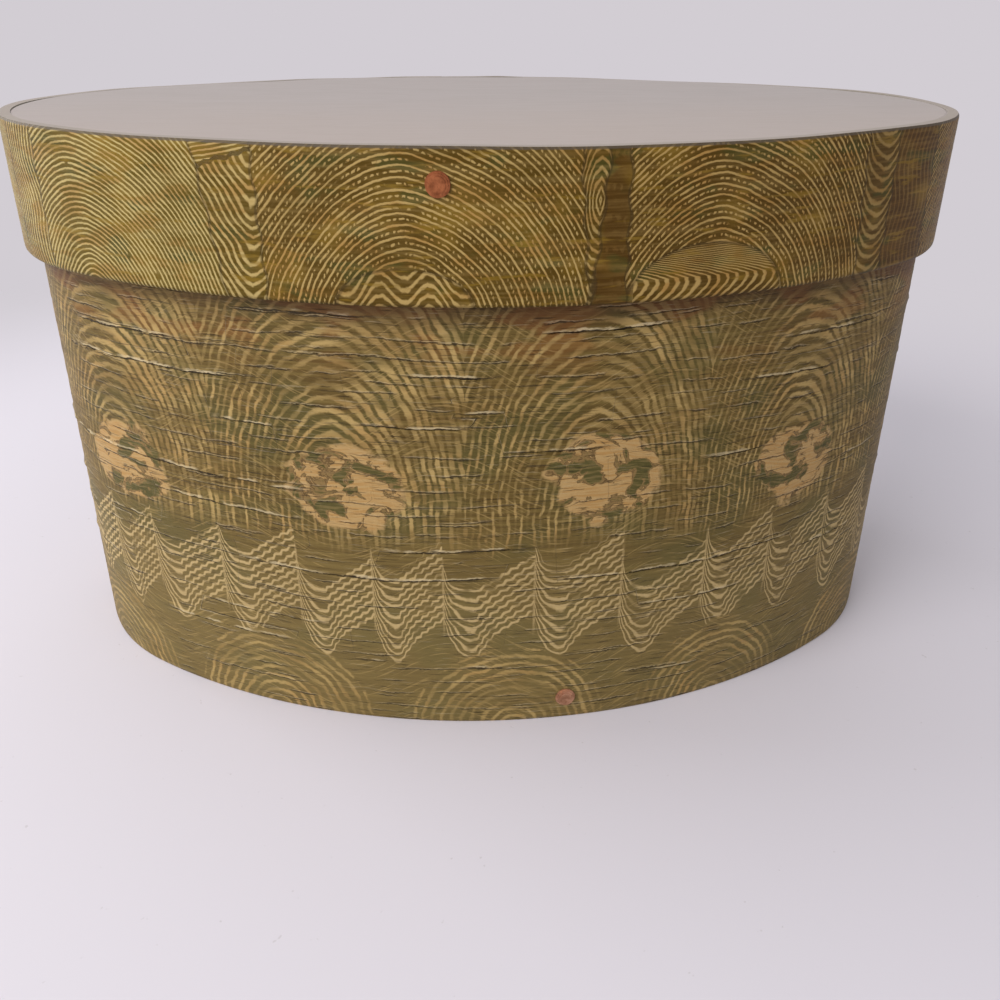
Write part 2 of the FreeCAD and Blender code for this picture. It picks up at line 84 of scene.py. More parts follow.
def drift(along: Array, up: Array, stretch: float, rise: float, seed: float) -> Array:
    """A smooth wandering value for each place on a band.

    Args:
        along: Places along the band.
        up: Places up the band.
        stretch: Size of the wandering along the band.
        rise: Size of the wandering up the band.
        seed: Tells one wandering from another.

    Returns:
        Values of about -1 to 1.
    """
    places = zip(np.ravel(along) / stretch, np.ravel(up) / rise)
    return np.array([noise.noise((x, y, seed)) for x, y in places]).reshape(np.shape(along))


@dataclass(frozen=True)
class Oval:
    """The lid's outer outline: four arcs, each running smoothly into the next."""

    length: float = 228.6
    width: float = 152.4
    end_radius: float = 57.2

    @property
    def end_centre(self) -> float:
        """How far the ends' centres are from the middle."""
        return self.length / 2 - self.end_radius

    @property
    def side_centre(self) -> float:
        """How far the sides' centres are from the middle."""
        rise = self.width / 2 - self.end_radius
        return (self.end_centre ** 2 - rise ** 2) / (2 * rise)

    @property
    def side_radius(self) -> float:
        """The radius of the front and of the back."""
        return self.width / 2 + self.side_centre

    @property
    def turn(self) -> float:
        """The angle that half of the front turns through."""
        return math.atan2(self.end_centre, self.side_centre)

    def corners(self, depth: float) -> tuple[Array, Array]:
        """Where the arcs meet on a face, from the front to the middle of the back.

        Args:
            depth: How deep the face is inside the lid's outer face.

        Returns:
            The arcs' ends, as lengths along the face and as angles from the front.
        """
        angles = np.array([0.0, self.turn, math.pi - self.turn, math.pi])
        radii = np.array([self.side_radius, self.end_radius, self.side_radius]) - depth
        return np.concatenate([[0.0], np.cumsum(radii * np.diff(angles))]), angles

    def half_girth(self, depth: float) -> float:
        """Half the way round a face."""
        return float(self.corners(depth)[0][-1])

    def angle(self, along: Array, depth: float) -> Array:
        """The angle from the front of each place along a face.

        Args:
            along: Places along the face, which may run on past the middle of the back.
            depth: How deep the face is inside the lid's outer face.

        Returns:
            The angles, of the same sign as the places.
        """
        lengths, angles = self.corners(depth)
        way = np.abs(along)
        past = np.maximum(way - lengths[-1], 0) / (self.side_radius - depth)
        return np.sign(along) * (np.interp(way, lengths, angles) + past)

    def place(self, angle: Array, depth: Array) -> tuple[Array, Array]:
        """Where a point of a face is, seen from above.

        Args:
            angle: Angles from the front.
            depth: How deep each point is inside the lid's outer face.

        Returns:
            The points' x and y.
        """
        turned = np.remainder(angle + math.pi, 2 * math.pi) - math.pi
        way = np.abs(turned)
        end = (way > self.turn) & (way < math.pi - self.turn)
        radius = np.where(end, self.end_radius, self.side_radius) - depth
        x = np.where(end, np.sign(turned) * self.end_centre, 0.0)
        y = np.where(end, 0.0, np.where(way > math.pi / 2, -1, 1) * self.side_centre)
        return x + radius * np.sin(turned), y - radius * np.cos(turned)

    def from_back(self, x: float, depth: float) -> float:
        """The length of a face from the middle of the back to a place across it."""
        radius = self.side_radius - depth
        return radius * math.asin(x / radius)


OVAL = Oval()


@dataclass(frozen=True)
class Lap:
    """The lapped joint of a band at the back, as places along X."""

    tips: float
    thin: float
    root: float
    top: float
    start: float
    root_radius: float = 1.0
    tip_loss: float = 1.1


@dataclass(frozen=True)
class Crack:
    """A lifted split of the grain on a band."""

    level: float
    start: float
    end: float
    lift: float = 0.3
    open: float = 0.3

    def reach(self, along: Array, taper: float) -> Array:
        """1 along the crack, and down to 0 over a taper at its two ends."""
        return np.clip(np.minimum(along - self.start, self.end - along) / taper, 0, 1)


def select_none() -> None:
    """Leaves nothing selected, so that the next operator acts on the new piece alone."""
    if bpy.context.object and bpy.context.object.mode != "OBJECT":
        bpy.ops.object.mode_set(mode="OBJECT")
    bpy.ops.object.select_all(action="DESELECT")


def activate(piece: bpy.types.Object) -> None:
    """Selects one piece alone and makes it the active one.

    Args:
        piece: The piece.
    """
    select_none()
    piece.select_set(True)
    bpy.context.view_layer.objects.active = piece


def points_of(piece: bpy.types.Object) -> Array:
    """The places of a piece's vertices, one row each.

    Args:
        piece: The piece.

    Returns:
        One row for each vertex, in metres.
    """
    places = np.zeros(len(piece.data.vertices) * 3, np.float32)
    piece.data.vertices.foreach_get("co", places)
    return places.reshape(-1, 3).astype(float)


def move_points(piece: bpy.types.Object, places: Array) -> None:
    """Moves a piece's vertices to new places."""
    piece.data.vertices.foreach_set("co", places.astype(np.float32).ravel())
    piece.data.update()


def write_field(piece: bpy.types.Object, name: str, *columns: Array) -> None:
    """Stores three numbers at each vertex for the piece's material to read.

    Args:
        piece: The piece.
        name: The field's name.
        columns: Its three numbers, one array each.
    """
    made = piece.data.attributes.new(name, "FLOAT_VECTOR", "POINT")
    made.data.foreach_set("vector", np.stack(columns, axis=1).astype(np.float32).ravel())


class Comb(Enum):
    """Ways that the grainer's comb was drawn through the wet paint."""

    FAN = "arcs about a point"
    UPRIGHT = "wavy lines that stand up"
    CHEVRON = "waves with a point"
    SCALLOPS = "stacked hollows"
    LEAF = "small loops"
    PLAIN = "no lines"
    RIPPLE = "waves that lie flat"
    HOOKS = "lines that run along and hook down"


@dataclass(frozen=True)
class Heart:
    """A small place at the foot of a fan, combed another way."""

    centre: float
    half_width: float
    height: float
    comb: Comb = Comb.RIPPLE
    pitch: float = 2.2


@dataclass(frozen=True)
class Zone:
    """One stroke of the comb on the lid's band, up to the next zone's edge."""

    edge_top: float
    edge_foot: float
    comb: Comb
    centre: float = 0.0
    pitch: float = 1.02
    strength: float = 1.0
    tone: float = 0.5
    heart: Optional[Heart] = None

    def lines(self, along: Array, up: Array) -> tuple[Array, Array, Array]:
        """The comb's lines in this zone.

        Args:
            along: Places along the band.
            up: Places up the band.

        Returns:
            Which line each place is on, how far along the line it is, and how
            strongly the line shows.
        """
        return comb_lines(self.comb, along - self.centre, up, self.pitch, self.strength)


def comb_lines(comb: Comb, across: Array, up: Array, pitch: float,
               strength: float) -> tuple[Array, Array, Array]:
    """The lines that a comb leaves.

    Args:
        comb: How it was drawn.
        across: Places along the band from the comb's own middle.
        up: Places up the band.
        pitch: How far apart its teeth are.
        strength: How strongly the lines show, below 0 for lines without dots.

    Returns:
        Which line each place is on, how far along it is, and its strength.
    """
    if comb is Comb.FAN:
        drop = up + 4.0
        drop = drop * (0.96 + 0.02 * np.sin(across / 5))
        radius = (np.abs(across) ** 1.7 + np.abs(drop) ** 1.7) ** (1 / 1.7)
        line, run = radius / pitch, np.arctan2(across, drop) * (radius + 4)
    elif comb is Comb.UPRIGHT:
        line, run = (across + 1.0 * np.sin(up / 2.9) + 0.05 * up) / pitch, up
    elif comb is Comb.CHEVRON:
        valley = across - 4.0 - 0.1 * up
        slope = np.where(valley < 0, -1.45, 1.1) * valley
        hollow = np.sqrt(slope ** 2 + 2.0) + 0.5 * np.sin(up * 0.7)
        line, run = (up - hollow) / pitch, across
        wedge = up > 25.6 + 0.32 * (across + 3)
        line = np.where(wedge, (up - 0.2 * across) / 0.85, line)
    elif comb is Comb.SCALLOPS:
        line, run = (up - 0.16 * across ** 2 + 0.2 * np.sin(across)) / pitch, across
    elif comb is Comb.LEAF:
        radius = np.hypot(across * 2.2, (up - 20) * 0.75)
        line, run = radius / pitch, up
    elif comb is Comb.RIPPLE:
        line = (up + 2.1 * np.cos(across * 0.6) + 0.03 * across ** 2) / pitch
        run = across
    elif comb is Comb.HOOKS:
        over = np.maximum(up - 4.2, 0)
        bulge = 3.4 * np.sin(np.minimum(up, 4.2) * 0.37) - 2.6 * over ** 1.35
        line, run = (across - bulge) / pitch, up
    else:
        line, run = up / 3.0, across
    return line, run, np.full(np.shape(up), strength)


@dataclass
class Band:
    """A strip of veneer, bent round the oval and lapped over itself at the back."""

    name: str
    foot: float
    height: float
    wall: float
    face: float
    lap: Lap
    gaps: tuple[tuple[float, float], ...]
    step: float
    rows: Array = field(default_factory=lambda: np.zeros(1))
    rim: Optional[bpy.types.Material] = None

    def back(self, x: float) -> float:
        """The length from the middle of the back to a place across it."""
        return OVAL.from_back(x, self.face)

    @property
    def half(self) -> float:
        """Half the way round the band's outer face."""
        return OVAL.half_girth(self.face)

    def columns(self) -> Array:
        """Where the mesh's columns stand along the band, closer at the fingers.

        Returns:
            Places along the band, from the finger tips on.
        """
        tips, root = (-self.half - self.back(self.lap.tips), -self.half - self.back(self.lap.root))
        bend = root - self.lap.root_radius
        radius = self.lap.root_radius
        curve = bend + radius * np.array([0.0, 0.45, 0.8, 0.97, 1.0])
        fingers = np.linspace(tips, bend, round((bend - tips) / 1.6))[:-1]
        rest = np.linspace(curve[-1], self.half - self.back(self.lap.start),
                           round((2 * self.half) / self.step))[1:]
        return np.concatenate([fingers, curve, rest])

    def gap_half(self, along: Array, half: float) -> Array:
        """Half the width of a gap between fingers.

        Args:
            along: Places along the band.
            half: Half the gap's width at the finger tips.

        Returns:
            The half width at each place, 0 past the gap's root.
        """
        radius = self.lap.root_radius
        bend = -self.half - self.back(self.lap.root) - radius
        run = bend + self.half + self.back(self.lap.tips)
        swing = half - radius
        side = (run ** 2 + swing ** 2) / (2 * swing)
        way = np.clip(bend - along, 0, run)
        sides = radius + side - np.sqrt(side ** 2 - way ** 2)
        root = np.sqrt(np.maximum(radius ** 2 - np.maximum(along - bend, 0) ** 2, 0))
        return np.where(along <= bend, sides, root)

    def edge_distance(self, along: Array, up: Array) -> Array:
        """How far each place is from the nearest edge of the veneer.

        Args:
            along: Places along the band.
            up: Places up the band.

        Returns:
            The distances.
        """
        near = np.full(np.shape(up), FAR)
        for middle, half in self.gaps:
            gap = self.gap_half(along, half)
            distance = np.abs(np.abs(up - middle) - gap)
            outer = (middle <= 0) or (middle >= self.height)
            near = np.minimum(near, np.where((gap > 0) | outer, distance, FAR))
        tips = -self.half - self.back(self.lap.tips)
        return np.minimum(near, along - tips)

    def veneer(self) -> bpy.types.Object:
        """Cuts the flat veneer with its fingers, one patch for each finger, and
        gives it its thickness.

        Returns:
            The flat veneer: x along it, y up it, and its outer face at z = 0.
        """
        columns, patches = self.columns(), []
        bounds = [middle for middle, _ in self.gaps]
        for (low, low_half), (high, high_half) in zip(self.gaps, self.gaps[1:]):
            inside = self.rows[(self.rows > low + 0.2) & (self.rows < high - 0.2)]
            levels = np.concatenate([[low], inside, [high]])
            select_none()
            bpy.ops.mesh.primitive_grid_add(
                x_subdivisions=len(columns) - 1, y_subdivisions=len(levels) - 1, size=1)
            patch = bpy.context.object
            places = points_of(patch)
            column = np.rint((places[:, 0] + 0.5) * (len(columns) - 1)).astype(int)
            row = np.rint((places[:, 1] + 0.5) * (len(levels) - 1)).astype(int)
            along, level = columns[column], levels[row]
            foot = low + self.gap_half(along, low_half)
            head = high - self.gap_half(along, high_half)
            share = (level - low) / (high - low)
            up = foot + share * (head - foot)
            bow = np.minimum(level - bounds[0], bounds[-1] - level) > 0
            up = up + np.where(bow, self.wander(along, level), 0)
            move_points(patch, np.stack([along * MM, up * MM, places[:, 2]], axis=1))
            patches.append(patch)
        activate(patches[0])
        for patch in patches[1:]:
            patch.select_set(True)
        if len(patches) > 1:
            bpy.ops.object.join()
        band = bpy.context.object
        bpy.ops.object.mode_set(mode="EDIT")
        bpy.ops.mesh.select_all(action="SELECT")
        bpy.ops.mesh.remove_doubles(threshold=1e-7)
        bpy.ops.object.mode_set(mode="OBJECT")
        thick = band.modifiers.new("thickness", "SOLIDIFY")
        thick.thickness, thick.offset = self.wall * MM, -1
        bpy.ops.object.modifier_apply(modifier=thick.name)
        band.name = band.data.name = self.name + "_bent"
        return band

    def wander(self, along: Array, level: Array) -> Array:
        """How far the grain, and the mesh's rows with it, strays from level."""
        return np.zeros(np.shape(along))

    def relief(self, along: Array, up: Array) -> Array:
        """How far the outer face stands out from the plain band."""
        return np.zeros(np.shape(along))

    def layer(self, along: Array) -> tuple[Array, Array]:
        """How deep the strip's outer and inner faces lie at each place along it."""
        raise NotImplementedError

    def tip_wear(self, along: Array) -> Array:
        """How much the finger tips were thinned before they were nailed.

        Args:
            along: Places along the band.

        Returns:
            The loss of thickness at each place.
        """
        start = -self.half - self.back(self.lap.thin)
        tips = -self.half - self.back(self.lap.tips)
        return self.lap.tip_loss * np.clip((start - along) / (start - tips), 0, 1)

    def bend(self, band: bpy.types.Object) -> None:
        """Bends the flat veneer round the oval and stores its places for the paint.

        Args:
            band: The flat band.
        """
        flat = points_of(band) / MM
        along, up, share = flat[:, 0], flat[:, 1], np.clip(-flat[:, 2] / self.wall, 0, 1)
        outer, inner = self.layer(along)
        worn = 0.32 * np.exp(-(self.edge_distance(along, up) / 0.3) ** 2)
        face = outer + worn - self.relief(along, up)
        depth = np.where(share < 0.5, face, inner)
        x, y = OVAL.place(OVAL.angle(along, self.face), depth)
        z = np.clip(self.foot + up + self.lean(along, up), self.foot, self.foot + self.height)
        write_field(band, "strip", along, up, share)
        self.comb(band, along, up)
        move_points(band, np.stack([x, y, z], axis=1) * MM)

    def lean(self, along: Array, up: Array) -> Array:
        """How far the band's rims stray from level."""
        return np.zeros(np.shape(along))

    def comb(self, band: bpy.types.Object, along: Array, up: Array) -> None:
        """Stores the lines of the grainer's comb."""
        raise NotImplementedError

    def dress(self, band: bpy.types.Object, paint: bpy.types.Material,
              bare: bpy.types.Material) -> None:
        """Paints the outer face, leaves the rest bare and smooths the faces.

        Args:
            band: The bent band.
            paint: The finish of its outer face.
            bare: The finish of its edges and its inner face.
        """
        for finish in (paint, bare, self.rim or bare):
            band.data.materials.append(finish)
        share = np.zeros(len(band.data.vertices) * 3, np.float32)
        band.data.attributes["strip"].data.foreach_get("vector", share)
        inside = share.reshape(-1, 3)[:, 2] > 0.5
        corners = np.zeros(len(band.data.polygons) * 4, np.int32)
        band.data.polygons.foreach_get("vertices", corners)
        corners = corners.reshape(-1, 4)
        hidden = inside[corners].any(axis=1).astype(np.int32)
        above = share.reshape(-1, 3)[:, 1][corners].min(axis=1) > self.height - 0.2
        band.data.polygons.foreach_set("material_index", hidden + (hidden & above))
        activate(band)
        bpy.ops.object.shade_smooth_by_angle(angle=math.radians(40))

    def build(self, paint: bpy.types.Material, bare: bpy.types.Material,
              body: str, slot: str) -> bpy.types.Object:
        """Makes the whole band and puts it in place of its CAD node.

        Args:
            paint: The finish of its outer face.
            bare: The finish of its edges and its inner face.
            body: The body that it moves with.
            slot: Not used.

        Returns:
            The finished band.
        """
        band = self.veneer()
        self.bend(band)
        self.dress(band, paint, bare)
        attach(band, body)
        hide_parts(self.name)
        log.info("%s: %d faces", band.name, len(band.data.polygons))
        return band


@dataclass
class BodyBand(Band):
    """The band round the body, with raised and split grain, and four fingers."""

    name: str = "body_band"
    foot: float = 0.0
    height: float = 124.4
    wall: float = 2.7
    face: float = 3.3
    lap: Lap = Lap(tips=22, thin=17, root=-28, top=-42, start=-62)
    gaps: tuple[tuple[float, float], ...] = (
        (0.0, 8.6), (26.17, 8.57), (52.31, 8.57), (78.45, 8.57), (124.4, 28.37))
    step: float = 2.35
    under_lid: float = 104.6
    cracks: tuple[Crack, ...] = (
        Crack(86.2, -107, -57, 0.45, 0.4), Crack(93.2, -105, -70), Crack(89.2, -23, 0, 0.4),
        Crack(76.4, -66, -48, 0.45), Crack(77.6, -33, -6, 0.35), Crack(81.2, -12, 2, 0.35),
        Crack(62.0, -107, -42, 0.3), Crack(54.6, -88, -44, 0.28), Crack(41.0, -65, 0, 0.35),
        Crack(39.8, 10, 77, 0.3), Crack(35.2, 76, 103, 0.35), Crack(20.4, -89, -50, 0.3),
        Crack(17.2, -37, -26, 0.4), Crack(15.6, -11, 0, 0.35), Crack(98.2, 6, 36, 0.5, 0.7),
        Crack(71.8, -2, 24, 0.25), Crack(67.2, 44, 66, 0.25), Crack(48.6, -30, 8, 0.25),
        Crack(30.4, 30, 62, 0.28), Crack(26.8, -78, -40, 0.22), Crack(101.2, -60, -25, 0.25),
        Crack(83.8, 52, 84, 0.3), Crack(92.0, 62, 98, 0.25), Crack(57.8, 86, 108, 0.3),
        Crack(10.4, 34, 52, 0.25), Crack(45.0, -106, -84, 0.3))
    all_cracks: list[Crack] = field(default_factory=list)

    def __post_init__(self) -> None:
        """Sets the mesh's rows: even ones, and close ones where the grain splits."""
        even = np.arange(1.2, self.height - 1, 2.6)
        close = [crack.level + step for crack in self.cracks
                 for step in (-0.45, -0.09, 0.09, 0.75)]
        rims = [0.35, self.height - 0.9, self.height - 0.3]
        taken = np.array(sorted(close + rims))
        free = [row for row in even if np.abs(taken - row).min() > 0.55]
        self.rows = np.array(sorted(list(taken) + free))
        self.rows = self.rows[np.concatenate([[True], np.diff(self.rows) > 0.05])]
        self.all_cracks = list(self.cracks) + self.back_cracks()

    def back_cracks(self) -> list[Crack]:
        """Cracks of the sides and the back, which use the levels of those in front.

        Returns:
            The cracks, each with a start and an end by chance.
        """
        chance = random.Random(11)
        made = []
        for crack in self.cracks:
            for low, high in ((-self.half + 45, -112), (112, self.half - 5)):
                start = chance.uniform(low, high - 30)
                made.append(Crack(crack.level, start, start + chance.uniform(14, 55),
                                  chance.uniform(0.2, 0.4), 0.3))
        return made

    def fade(self, along: Array) -> Array:
        """0 on the fingers and their lap, and 1 on the rest of the band."""
        lap = -self.half - self.back(self.lap.top)
        return ease((along - lap) / 14)

    def wander(self, along: Array, level: Array) -> Array:
        """How far the grain strays from level, more in the middle of the band.

        Args:
            along: Places along the band.
            level: Levels of the grain up the band.

        Returns:
            How far each place of the grain is moved up.
        """
        room = np.clip(np.minimum(level, self.height - level) / 12, 0, 1)
        slope = 0.9 * drift(along, level, 55, 40, 3.1) + 0.25 * drift(along, level, 14, 30, 5.7)
        return slope * 1.6 * room * self.fade(along)

    def relief(self, along: Array, up: Array) -> Array:
        """Slow waves of the whole band, the raised grain, and the lifted cracks.

        Args:
            along: Places along the band.
            up: Places up the band.

        Returns:
            How far each place stands out.
        """
        level = up - self.wander(along, up)
        slow = 0.16 * drift(along, up, 38, 45, 1.7)
        grain = 0.10 * drift(along, level, 26, 1.3, 9.3)
        lifted = np.zeros(np.shape(along))
        for crack in self.all_cracks:
            ends = crack.reach(along, 7)
            lively = ends * (0.75 + 0.45 * np.sin(along * 0.55 + crack.level * 1.7))
            over = level - crack.level
            lip = np.where(over > 0, np.exp(-np.maximum(over - 0.09, 0) / 0.75), 0)
            cut = np.where((over <= 0) & (over > -0.5), np.exp(over / 0.22), 0)
            more = lively * (crack.lift * lip - crack.open * cut)
            lifted = np.where(np.abs(over) < 6, lifted + more, lifted)
        shown = np.clip((self.under_lid - 1 - up) / 3, 0, 1) * np.clip(up / 2, 0, 1)
        return (slow + (grain + lifted) * shown) * (0.25 + 0.75 * self.fade(along))

    def layer(self, along: Array) -> tuple[Array, Array]:
        """How deep the faces lie: the lap rises over the hidden, thinned end.

        Args:
            along: Places along the band.

        Returns:
            The depths of the outer and of the inner face.
        """
        from_left, from_right = along + self.half, along - self.half
        start, top = -self.back(self.lap.start), -self.back(self.lap.top)
        outer = self.face - self.wall * ease((start - from_left) / (start - top))
        hidden = ease((from_right - top) / (start - top))
        inner = outer + self.wall
        outer = outer + self.tip_wear(along) + (self.wall - 0.03) * hidden
        return outer, inner

    def comb(self, band: bpy.types.Object, along: Array, up: Array) -> None:
        """Stores where the strokes and the cracks lie.

        Args:
            band: The band, which keeps the fields.
            along: Places along the band.
            up: Places up the band.
        """
        PaintedBody().write(band, along, up)
        level = up - self.wander(along, up)
        near, force = np.full(len(along), 50.0), np.zeros(len(along))
        for crack in self.all_cracks:
            ends = crack.reach(along, 6)
            closer = (ends > 0) & (np.abs(level - crack.level) < np.abs(near))
            near = np.where(closer, level - crack.level, near)
            force = np.where(closer, ends * (0.5 + crack.lift), force)
        shown = np.clip((self.under_lid - up) / 2, 0, 1) * self.fade(along)
        write_field(band, "split", near, force * shown, level)


@dataclass(frozen=True)
class PaintedBody:
    """Where the grainer's strokes lie on the body."""

    rosettes: tuple[tuple[float, float], ...] = (
        (-374, 62), (-318, 62), (-262, 61), (-206, 63), (-150, 60), (-94, 60), (-34.5, 63),
        (24, 65), (73, 59.5), (127, 62), (182, 60), (237, 63), (291, 61), (346, 62), (400, 60))
    arches: tuple[float, ...] = (
        -374, -318, -262, -206, -150, -95, -37, 20, 71, 127, 182, 237, 291, 346, 400)
    fans: tuple[float, ...] = (
        -385, -330, -275, -220, -166, -111, -57, 3, 55, 108, 162, 216, 270, 325, 380)
    panels: tuple[float, ...] = (
        -370, -350, -330, -310, -291, -272, -252, -233, -214, -196, -177, -160, -141, -122,
        -104, -89, -68, -48, -30, -14, 7, 27.5, 49, 68, 88, 106, 124, 143, 161, 180, 198, 217, 236, 254, 273,
        292, 311, 330, 350, 370)

    def write(self, band: bpy.types.Object, along: Array, up: Array) -> None:
        """Stores where each vertex lies in the rows of strokes, counted in strokes.

        Args:
            band: The band.
            along: The vertices' places along it.
            up: Their places up it.
        """
        across, levels = zip(*self.rosettes)
        turns = [np.interp(along, row, np.arange(len(row)))
                 for row in (self.arches, across, self.fans, self.panels)]
        write_field(band, "turns", *turns[:3])
        write_field(band, "panels", turns[3], up - np.interp(along, across, levels), up)


@dataclass
class LidBand(Band):
    """The lid's band, which swells over the body's lap, with one finger."""

    name: str = "lid_band"
    foot: float = 104.6
    height: float = 29.8
    wall: float = 2.7
    face: float = 0.0
    lap: Lap = Lap(tips=22, thin=17, root=-10, top=-20, start=-38)
    gaps: tuple[tuple[float, float], ...] = ((0.0, 8.9), (29.8, 8.9))
    step: float = 1.2
    swell: tuple[float, float, float, float] = (-66, -46, 26, 46)
    zones: tuple[Zone, ...] = (
        Zone(-400, -400, Comb.UPRIGHT),
        Zone(-300, -298, Comb.FAN, -270, tone=0.6, heart=Heart(-270, 12, 6)),
        Zone(-244, -240, Comb.SCALLOPS, -238, 2.7, tone=0.4),
        Zone(-232, -233, Comb.FAN, -205, tone=0.3, heart=Heart(-205, 13, 7)),
        Zone(-180, -178, Comb.UPRIGHT, -176, 1.4, tone=0.2),
        Zone(-172, -172, Comb.FAN, -146, tone=0.1, heart=Heart(-146, 12, 6)),
        Zone(-118, -119, Comb.UPRIGHT, -112, 1.35, tone=0.05),
        Zone(-105, -105, Comb.FAN, -91, tone=0.0),
        Zone(-61, -56.5, Comb.CHEVRON, -55, 2.3, -1.0, tone=0.25),
        Zone(-48.5, -47.5, Comb.FAN, -19, tone=0.55, heart=Heart(-20, 13.5, 7.4)),
        Zone(13.5, 16, Comb.LEAF, 17.2, 1.3, -0.8, tone=0.5),
        Zone(19, 16.5, Comb.PLAIN, 20, 1.0, 0.12, tone=0.9),
        Zone(23, 23.5, Comb.FAN, 43, tone=0.7, heart=Heart(41, 17.5, 11, Comb.HOOKS, 2.2)),
        Zone(78, 80, Comb.SCALLOPS, 84.2, 2.3, -0.55, tone=0.7),
        Zone(88.3, 88.5, Comb.UPRIGHT, 96, 1.7, -0.2, tone=0.95),
        Zone(104, 105, Comb.FAN, 130, tone=0.8, heart=Heart(130, 12, 7)),
        Zone(158, 160, Comb.PLAIN, 162, 1.0, 0.15, tone=0.7),
        Zone(166, 166, Comb.FAN, 194, tone=0.6, heart=Heart(194, 14, 8)),
        Zone(221, 223, Comb.SCALLOPS, 226.4, 2.7, tone=0.5),
        Zone(230, 230, Comb.FAN, 257, tone=0.5, heart=Heart(257, 13, 6)),
        Zone(284, 286, Comb.UPRIGHT, 300, 1.4, tone=0.5))

    def __post_init__(self) -> None:
        """Sets the mesh's rows, closer at the rims."""
        self.rows = np.concatenate([[0.35], np.linspace(0.95, 28.9, 33), [29.45]])

    def relief(self, along: Array, up: Array) -> Array:
        """Slow waves of the band, and a little raised grain."""
        return 0.12 * drift(along, up, 42, 30, 2.9) + 0.03 * drift(along, up, 20, 1.5, 6.1)

    def lean(self, along: Array, up: Array) -> Array:
        """The top rim stands a little higher at one place of the back.

        Args:
            along: Places along the band.
            up: Places up the band.

        Returns:
            How far each place is moved up.
        """
        top = np.clip((up - self.height + 4) / 4, 0, 1)
        hump = np.exp(-((np.abs(along) - self.half + 7) / 6) ** 2) * (along > 0)
        uneven = 0.10 + 0.08 * np.sin(along / 17) + 0.05 * np.sin(along / 7.3)
        back = ease((np.abs(along) - 0.6 * self.half) / 30) * 0.15
        return -top * np.maximum((uneven + back) * (1 - hump), 0)

    def bulge(self, along: Array) -> Array:
        """How far the lid swells over the body's lap.

        Args:
            along: Places along the band.

        Returns:
            0 where the lid follows the oval, and 1 over the lap.
        """
        high_left, low_left = (-self.back(place) for place in self.swell[:2])
        near, foot = (-self.back(place) for place in self.swell[2:])
        left = ease((high_left - along - self.half) / (high_left - low_left))
        return left + ease((along - self.half - foot) / (near - foot))

    def layer(self, along: Array) -> tuple[Array, Array]:
        """How deep the faces lie: a swell over the body's lap, then the lid's own.

        Args:
            along: Places along the band.

        Returns:
            The depths of the outer and of the inner face.
        """
        from_left, from_right = along + self.half, along - self.half
        start, top = -self.back(self.lap.start), -self.back(self.lap.top)
        over = ease((start - from_left) / (start - top))
        hidden = ease((from_right - top) / (start - top))
        outer = self.face - self.wall * (self.bulge(along) + over)
        inner = outer + self.wall
        return outer + self.tip_wear(along) + (self.wall - 0.03) * hidden, inner

    def comb(self, band: bpy.types.Object, along: Array, up: Array) -> None:
        """Stores the comb's lines in two layers that show by turns, zone by zone,
        so that each zone's edge stays crisp between the mesh's points.

        Args:
            band: The band, which keeps the fields.
            along: Places along the band.
            up: Places up the band.
        """
        count = len(self.zones)
        edges = np.stack([zone.edge_foot + (zone.edge_top - zone.edge_foot) * up / self.height
                          for zone in self.zones] + [np.full(np.shape(along), 400.0)])
        edges = edges + 0.35 * np.sin(up * 0.8 + edges * 0.3)
        here = np.clip((along[None, :] >= edges).sum(axis=0) - 1, 0, count - 1)
        place = np.arange(len(along))
        to_left, to_right = along - edges[here, place], edges[here + 1, place] - along
        beside = np.clip(np.where(to_left < to_right, here - 1, here + 1), 0, count - 1)
        near = np.minimum(to_left, to_right)
        own = [zone.lines(along, up) for zone in self.zones]
        tone = np.choose(here, [zone.tone for zone in self.zones])
        layers = {}
        in_heart = np.zeros(len(along), bool)
        heart_near = np.zeros(len(along), bool)
        heart_edge = np.full(len(along), FAR)
        for index, zone in enumerate(self.zones):
            if zone.heart:
                size = np.hypot((along - zone.heart.centre) / zone.heart.half_width,
                                np.maximum(up, 0) / zone.heart.height)
                edge = (1 - size) * 0.5 * (zone.heart.half_width + zone.heart.height) * 0.8
                mine = here == index
                in_heart |= mine & (edge > 0)
                heart_near |= mine & (np.abs(edge) < near)
                heart_edge = np.where(mine, np.abs(edge), heart_edge)
        for parity in (0, 1):
            shown = np.where(here % 2 == parity, here, beside)
            parts = [np.choose(shown, [lines[k] for lines in own]) for k in range(3)]
            for index, zone in enumerate(self.zones):
                if zone.heart and index % 2 != parity:
                    mine = (here == index) & (heart_near | in_heart)
                    heart = comb_lines(zone.heart.comb, along - zone.heart.centre, up,
                                       zone.heart.pitch, -1.0)
                    parts = [np.where(mine, new, old) for new, old in zip(heart, parts)]
            layers[parity] = parts
        write_field(band, "comb_even", *layers[0])
        write_field(band, "comb_odd", *layers[1])
        sign = np.where((here % 2 == 0) ^ in_heart, 1, -1)
        write_field(band, "zones", np.minimum(near, heart_edge) * sign, tone, along)


